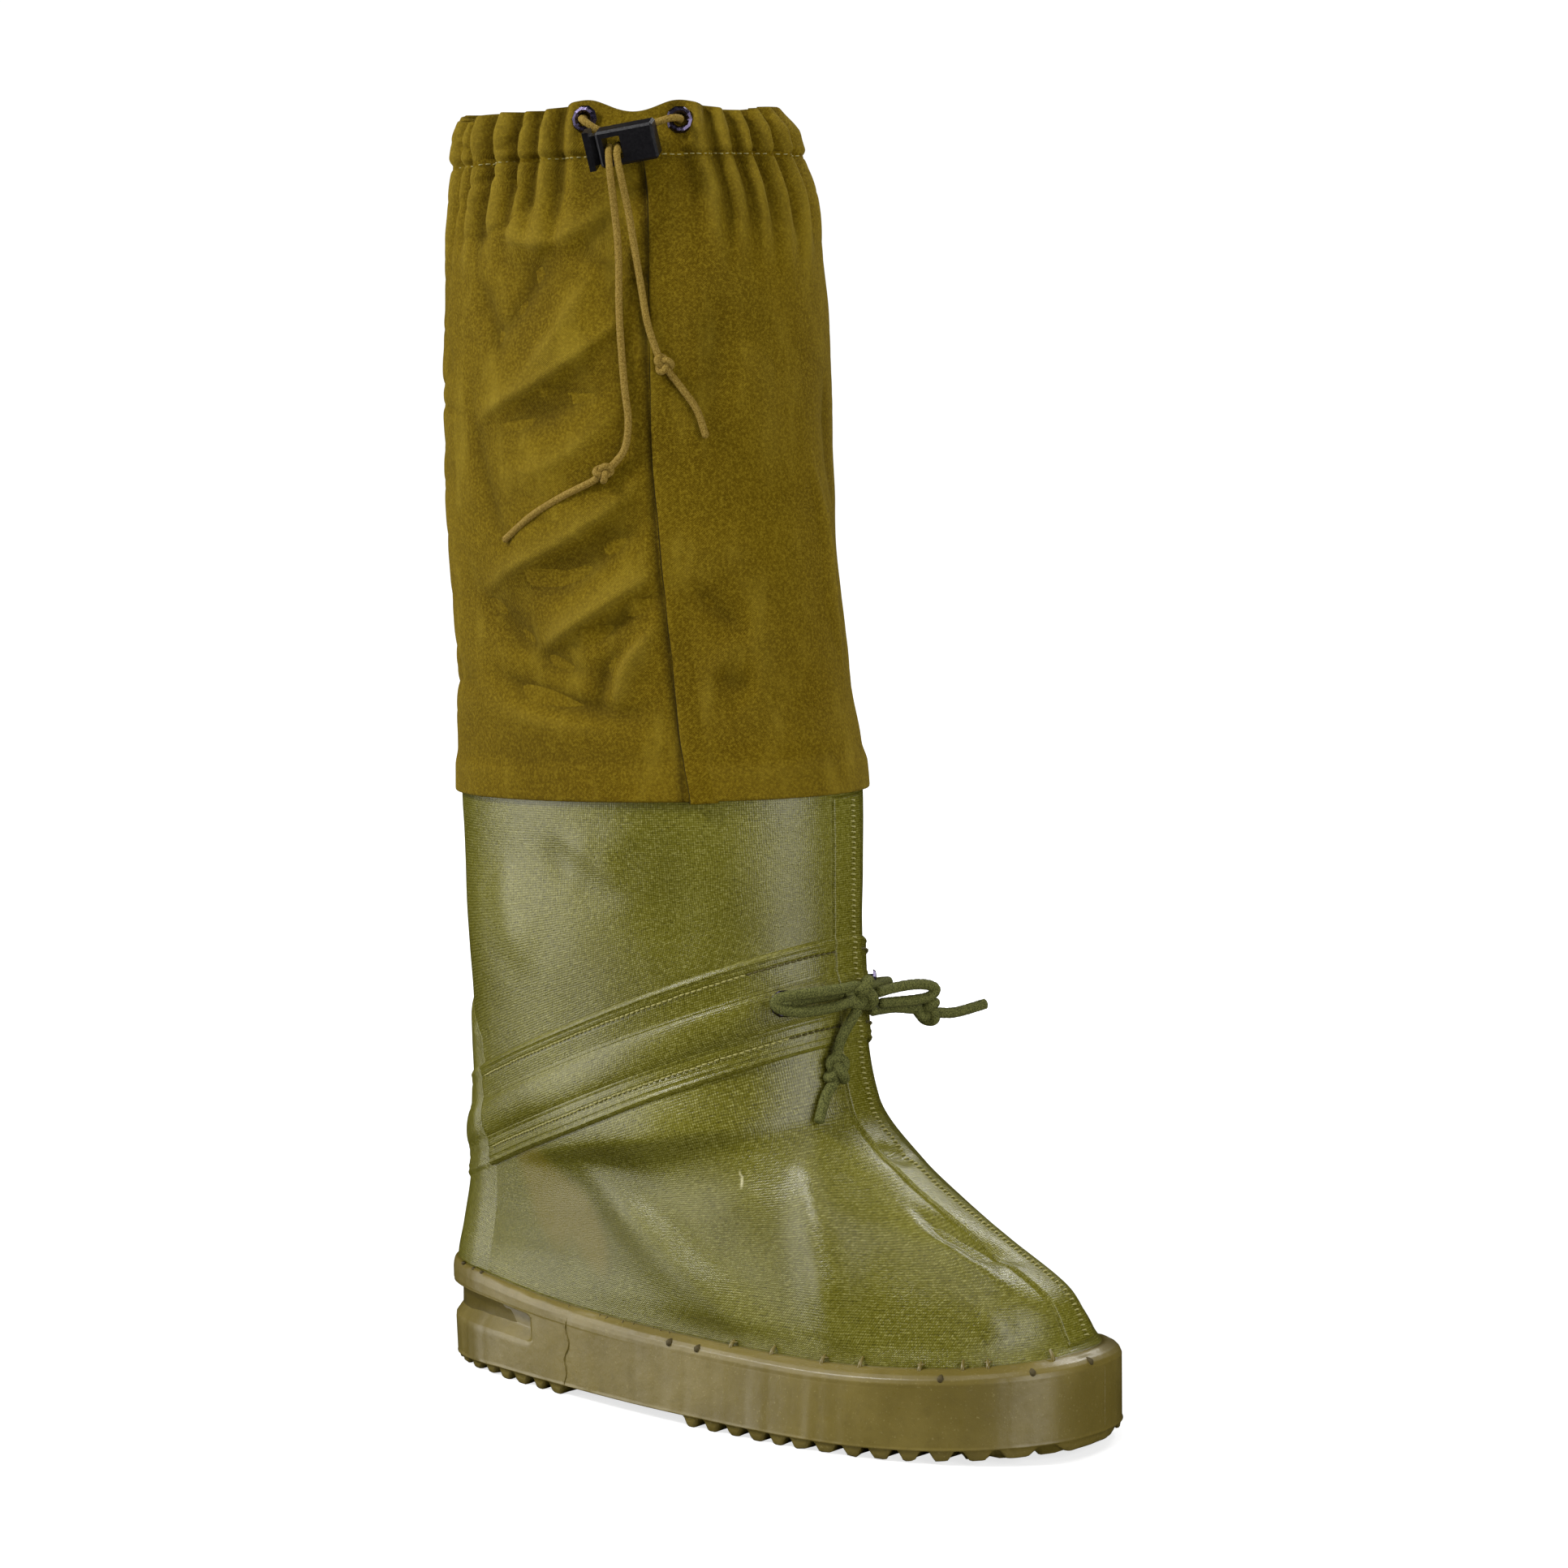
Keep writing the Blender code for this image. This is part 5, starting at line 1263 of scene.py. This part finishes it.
def make_bow(finish):
    for name, route in (("outer", OUTER_BAR), ("inner", INNER_BAR)):
        made = cord_mesh(f"lace_bar_{name}", leg_route(route), ANKLE_CORD, LACE_BRAID, finish)[0]
        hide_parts(f"ankle_cord_{name}")
    down = leg_route([*DOWN_END, DOWN_KNOT, *DOWN_TIP])
    side = np.array([*SIDE_END, SIDE_KNOT, *SIDE_TIP])
    runs = (
        ("loop_outer", leg_route(OUTER_LOOP), None),
        ("loop_inner", np.array(INNER_LOOP), None),
        ("end_down", down, len(DOWN_END)),
        ("end_side", side, len(SIDE_END)),
    )
    for name, route, knot_at in runs:
        made, points, length = cord_mesh(f"lace_{name}", route, ANKLE_CORD, LACE_BRAID, finish)
        node = f"bow_{name}"
        nodes = [node] if knot_at is None else [node, f"{node}_tip"]
        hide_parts(*nodes)
        if knot_at is None:
            declare_cord(made, points, length)
            continue
        before, place, after = route[knot_at - 1 : knot_at + 2]
        knot = knot_mesh(f"lace_{name}_knot", f"{node}_knot", place, after - before, ANKLE_CORD, finish)
        declare_cord(made, points, length)
    place = leg_route([BOW_KNOT])[0]
    knot = knot_mesh("lace_bow_knot", "bow_knot", place, (0.2, 1.0, 0.1), ANKLE_CORD * 1.25, finish)


# ---- materials ----
class Finish:
    """A material in the making. add() makes a node and sets or links its inputs by name or number."""

    def __init__(self, name):
        self.material = bpy.data.materials.new(name)
        self.material.use_nodes = True
        self.nodes = self.material.node_tree.nodes
        self.links = self.material.node_tree.links
        self.shader = self.nodes["Principled BSDF"]

    def add(self, kind, inputs=None, out=0, **settings):
        node = self.nodes.new("ShaderNode" + kind)
        for key, value in settings.items():
            setattr(node, key, value)
        self.feed(node, inputs or {})
        return node.outputs[out]

    def feed(self, node, inputs):
        for key, value in inputs.items():
            if isinstance(value, bpy.types.NodeSocket):
                self.links.new(value, node.inputs[key])
            else:
                node.inputs[key].default_value = value

    def math(self, operation, first, second=0.0, third=0.0):
        return self.add("Math", {0: first, 1: second, 2: third}, operation=operation)

    def mix(self, share, first, second):
        """Two colours mixed."""
        return self.add("Mix", {0: share, 6: first, 7: second}, out=2, data_type="RGBA")

    def value(self, name):
        """A value stored at the mesh's points, 0 where the mesh has none."""
        return self.add("Attribute", out=2, attribute_name=name)

    def noise(self, place, scale, detail, roughness):
        inputs = {"Vector": place, "Scale": scale, "Detail": detail, "Roughness": roughness}
        return self.add("TexNoise", inputs)

    def parts(self, vector):
        """The three numbers of a vector."""
        return self.add("SeparateXYZ", {0: vector}).node.outputs

    def ramp(self, value, low, high, first=0.0, second=1.0):
        """A value moved from one range to another, with a smooth step."""
        inputs = {"Value": value, 1: low, 2: high, 3: first, 4: second}
        return self.add("MapRange", inputs, interpolation_type="SMOOTHSTEP")

    def scaled(self, place, scale):
        return self.add("Mapping", {"Vector": place, "Scale": scale})

    def bump(self, height, distance, strength=1.0):
        return self.add("Bump", {"Height": height, "Distance": distance, "Strength": strength})

    def end(self, **inputs):
        names = {key: key.replace("_", " ").title().replace("Ior", "IOR") for key in inputs}
        self.feed(self.shader, {names[key]: value for key, value in inputs.items()})
        return self.material


def colour(red, green, blue):
    """A linear colour from 8-bit display values."""
    return tuple((value / 255) ** 2.2 for value in (red, green, blue)) + (1.0,)


def coated_canvas():
    made = Finish("coated canvas")
    cloth = made.add("UVMap", uv_map="cloth")
    place = made.add("TexCoord", out=3)
    threads = made.scaled(cloth, (1000.0, 1060.0, 1.0))
    wobble = made.noise(threads, 0.30, 3.0, 0.6)
    waves = []
    for across, drift in zip(made.parts(threads), (5.0, 3.0)):
        phase = made.math("MULTIPLY_ADD", across, 2 * math.pi, made.math("MULTIPLY", wobble, drift))
        waves.append(made.math("SINE", phase))
    warp, weft = waves
    streak = made.noise(made.scaled(cloth, (340.0, 1100.0, 1.0)), 1.0, 3.0, 0.6)
    upright = made.noise(made.scaled(cloth, (1100.0, 360.0, 1.0)), 1.0, 3.0, 0.6)
    grain = made.noise(place, 1000.0, 3.0, 0.7)
    weave = made.math("MULTIPLY_ADD", weft, 0.34, made.math("MULTIPLY", warp, 0.30))
    height = made.math("MULTIPLY_ADD", streak, 2.2, weave)
    height = made.math("MULTIPLY_ADD", upright, 1.5, height)
    height = made.math("MULTIPLY_ADD", grain, 3.0, height)
    # Crowns of the threads, lightened in colour below: painted glints of the coating.
    painted_glint = made.ramp(height, 3.35, 4.5)
    patches = made.noise(place, 16.0, 3.0, 0.5)
    base = made.mix(made.ramp(patches, 0.35, 0.65), colour(96, 92, 19), colour(109, 105, 31))
    base = made.mix(made.math("MULTIPLY", painted_glint, 0.75), base, colour(160, 156, 92))
    # Low places of the weave are darkened: painted shade between the threads.
    base = made.mix(made.ramp(height, 3.2, 2.3, 0.0, 0.8), base, colour(58, 55, 6))
    # Hollows of the folds are darkened: painted shade in the creases.
    base = made.mix(made.math("MULTIPLY", made.value("hollow_shade"), 0.2), base, colour(60, 57, 8))
    base = made.mix(made.ramp(made.value("tan"), 0.1, 0.8, 0.0, 0.7), base, colour(114, 102, 32))
    base = made.mix(made.ramp(made.value("pale"), 0.3, 0.9), base, colour(190, 184, 140))
    rough = made.ramp(height, 2.4, 4.2, 0.44, 0.24)
    normal = made.bump(height, 0.00007, 1.0)
    shine = made.bump(height, 0.00005, 1.0)
    gloss = {"coat_weight": 1.0, "coat_roughness": 0.29, "coat_normal": shine}
    return made.end(base_color=base, roughness=rough, normal=normal, specular_ior_level=0.05, **gloss)


def cotton_cloth():
    made = Finish("cotton moleskin")
    cloth = made.add("UVMap", uv_map="cloth")
    place = made.add("TexCoord", out=3)
    twill = made.add("Mapping", {"Vector": cloth, "Rotation": (0, 0, 0.9), "Scale": (1500.0, 1500.0, 1.0)})
    fuzz = made.noise(place, 900.0, 3.0, 0.75)
    rub = made.noise(made.scaled(place, (1.0, 1.0, 0.35)), 60.0, 4.0, 0.65)
    rib = made.math("SINE", made.math("MULTIPLY", made.parts(twill)[0], 2 * math.pi))
    height = made.math("MULTIPLY_ADD", fuzz, 2.0, made.math("MULTIPLY", rib, 0.25))
    height = made.math("MULTIPLY_ADD", rub, 2.0, height)
    patches = made.noise(place, 18.0, 4.0, 0.6)
    base = made.mix(made.ramp(patches, 0.3, 0.7), colour(88, 70, 6), colour(100, 81, 12))
    base = made.mix(made.ramp(fuzz, 0.42, 0.7, 0.0, 0.55), base, colour(142, 121, 34))
    base = made.mix(made.ramp(fuzz, 0.5, 0.3, 0.0, 0.45), base, colour(72, 58, 3))
    base = made.mix(made.ramp(rub, 0.50, 0.72, 0.0, 0.40), base, colour(140, 120, 38))
    # Ridges are lightened and hollows darkened: painted light and painted shade of the folds.
    base = made.mix(made.math("MULTIPLY", made.value("ridge"), 0.30), base, colour(146, 126, 48))
    base = made.mix(made.math("MULTIPLY", made.value("hollow_shade"), 0.45), base, colour(54, 42, 2))
    # Dark line at the side seam: painted shadow in its groove.
    base = made.mix(made.value("seam_shadow"), base, colour(34, 26, 2))
    normal = made.bump(height, 0.00020, 0.8)
    sheen = {"sheen_weight": 0.20, "sheen_roughness": 0.35, "sheen_tint": colour(225, 200, 90)}
    return made.end(base_color=base, roughness=0.8, normal=normal, specular_ior_level=0.06, **sheen)


def sole_rubber():
    made = Finish("sole rubber")
    place = made.add("TexCoord", out=3)
    patches = made.noise(place, 22.0, 5.0, 0.6)
    fine = made.noise(place, 240.0, 5.0, 0.65)
    specks = made.noise(place, 900.0, 2.0, 0.6)
    base = made.mix(made.ramp(patches, 0.35, 0.7), colour(104, 91, 38), colour(120, 106, 51))
    base = made.mix(made.ramp(fine, 0.5, 0.8, 0.0, 0.45), base, colour(92, 80, 30))
    base = made.mix(made.ramp(specks, 0.62, 0.74, 0.0, 0.35), base, colour(160, 148, 96))
    rough = made.ramp(fine, 0.3, 0.7, 0.27, 0.40)
    height = made.math("MULTIPLY_ADD", patches, 6.0, made.math("MULTIPLY_ADD", specks, 0.4, fine))
    normal = made.bump(height, 0.00018, 0.6)
    smoother = made.bump(patches, 0.0014, 0.5)
    gloss = {"coat_weight": 0.75, "coat_roughness": 0.42, "coat_normal": smoother}
    return made.end(base_color=base, roughness=rough, normal=normal, specular_ior_level=0.2, **gloss)


def cord_fibre(name, dark, light):
    made = Finish(name)
    place = made.add("TexCoord", out=3)
    fine = made.noise(place, 1800.0, 3.0, 0.7)
    base = made.mix(made.ramp(fine, 0.35, 0.65), dark, light)
    normal = made.bump(fine, 0.0002, 0.5)
    return made.end(base_color=base, roughness=0.75, normal=normal, specular_ior_level=0.15)


def plain_finish(name, shade, roughness, metallic=0.0):
    made = Finish(name)
    fine = made.noise(made.add("TexCoord", out=3), 900.0, 3.0, 0.6)
    lighter = tuple(1.5 * value for value in shade[:3]) + (1.0,)
    base = made.mix(made.ramp(fine, 0.3, 0.7, 0.0, 0.4), shade, lighter)
    rough = made.ramp(fine, 0.3, 0.7, roughness, roughness + 0.12)
    return made.end(base_color=base, roughness=rough, metallic=metallic, normal=made.bump(fine, 0.0001, 0.5))


# ---- stage ----
CAMERA_PLACE = Vector((1.318, -1.417, 0.465))
CAMERA_AIM = Vector((0.129, 0.0, 0.263))
CAMERA_LENS = 102.48

# Name, place, size, power in watts and aim of each light. The boot's walls mirror what is low beside
# them, but not the floor, so the windows reach below it
LIGHTS = (
    ("left window", (-1.56, -1.24, 0.45), (1.60, 2.0), 30.0, (0.05, 0.0, 0.40)),
    ("right window", (1.99, -0.48, 0.45), (1.30, 2.0), 33.0, (0.05, 0.0, 0.40)),
    ("high window", (-0.75, -1.45, 1.80), (0.5, 0.5), 38.0, (0.05, 0.0, 0.25)),
    ("top", (0.6, -0.6, 2.4), (0.8, 0.8), 8.0, (0.05, 0.0, 0.25)),
    ("back", (0.30, 1.80, 2.00), (0.8, 0.8), 24.0, (0.05, 0.0, 0.25)),
)


def make_camera():
    data = bpy.data.cameras.new("camera")
    data.sensor_width = 36.0
    data.lens = CAMERA_LENS
    data.clip_start, data.clip_end = 0.05, 60.0
    made = bpy.data.objects.new("camera", data)
    made.location = CAMERA_PLACE
    made.rotation_euler = (CAMERA_AIM - CAMERA_PLACE).to_track_quat("-Z", "Y").to_euler()
    bpy.context.scene.collection.objects.link(made)
    bpy.context.scene.camera = made


def make_light(name, place, size, power, aim):
    data = bpy.data.lights.new(name, "AREA")
    data.shape = "RECTANGLE"
    data.size, data.size_y = size
    data.energy = power
    made = bpy.data.objects.new(name, data)
    made.location = place
    made.rotation_euler = (Vector(aim) - Vector(place)).to_track_quat("-Z", "Y").to_euler()
    made.visible_camera = False
    bpy.context.scene.collection.objects.link(made)


FLOOR_SIZE = 6.0
AMBIENT = 0.12  # strength of the surround's light on the object
SURROUND = 1.05  # its strength as the camera sees it


def make_stage():
    """A white floor that goes over into a white surround, with a soft shadow near the object."""
    data = bpy.data.meshes.new("floor")
    turns = np.linspace(0, 2 * math.pi, 65)[:-1]
    corners = [(FLOOR_SIZE * math.cos(turn), FLOOR_SIZE * math.sin(turn), 0) for turn in turns]
    data.from_pydata(corners, [], [tuple(range(64))])
    floor = Finish("pale floor")
    white = (0.5, 0.5, 0.5, 1)
    place = floor.add("TexCoord", out=3)
    away = floor.add("VectorMath", {0: place}, out=1, operation="LENGTH")
    seen = floor.add("LightPath")
    glow = floor.math("MULTIPLY", floor.ramp(away, 0.3, 1.0, 1.45, 2.2), seen)
    glow = {"emission_color": white, "emission_strength": glow}
    data.materials.append(floor.end(base_color=white, roughness=0.8, specular_ior_level=0.0, **glow))
    made = bpy.data.objects.new("floor", data)
    bpy.context.scene.collection.objects.link(made)
    made.visible_glossy = False
    world = bpy.data.worlds.new("studio")
    world.use_nodes = True
    nodes, links = world.node_tree.nodes, world.node_tree.links
    seen = nodes.new("ShaderNodeLightPath")
    strength = nodes.new("ShaderNodeMapRange")
    strength.inputs["To Min"].default_value = AMBIENT
    strength.inputs["To Max"].default_value = SURROUND
    links.new(seen.outputs["Is Camera Ray"], strength.inputs["Value"])
    links.new(strength.outputs[0], nodes["Background"].inputs["Strength"])
    nodes["Background"].inputs["Color"].default_value = (1, 1, 1, 1)
    world.cycles_visibility.glossy = False
    bpy.context.scene.world = world
    bpy.context.scene.view_settings.view_transform = "Standard"


def main():
    make_camera()
    make_stage()
    for light in LIGHTS:
        make_light(*light)
    canvas, cotton, rubber = coated_canvas(), cotton_cloth(), sole_rubber()
    elastic = cord_fibre("elastic cord", colour(104, 82, 26), colour(150, 126, 62))
    lace = cord_fibre("ankle lace", colour(54, 57, 27), colour(112, 113, 62))
    make_upper(canvas)
    for side in (1, -1):
        make_band(side, canvas)
    make_front_tape(canvas)
    make_heel_counter(canvas)
    make_shaft(cotton)
    make_side_seam(cotton)
    thread = plain_finish("thread", colour(146, 136, 84), 0.7)
    make_tunnel_stitches(thread)
    coated_thread = plain_finish("coated thread", colour(150, 144, 84), 0.4)
    # The dark finish of the band's front stitches is painted shade in their holes.
    make_band_stitches(coated_thread, plain_finish("stitch hole shade", colour(76, 70, 28), 0.6))
    make_tape_stitches(coated_thread)
    make_drawcord(elastic)
    make_bow(lace)
    make_sole(rubber)
    # The dark finish of plugs, nicks and pits is painted shade of holes and cuts.
    make_rim_marks(rubber, plain_finish("painted hole shade", colour(72, 62, 30), 0.7))
    make_mould_lines(rubber)
    kept = {
        "insole": plain_finish("felt", colour(90, 84, 56), 0.9),
        "cord_lock_body": plain_finish("lock plastic", colour(24, 23, 26), 0.34),
        "cord_lock_plunger": plain_finish("plunger plastic", colour(22, 21, 24), 0.36),
    }
    metal = plain_finish("eyelet metal", colour(78, 72, 92), 0.22, 1.0)
    kept.update({name: metal for name in frame["nodes"] if "eyelet" in name})
    for name, finish in kept.items():
        frame["nodes"][name].data.materials[0] = finish


main()
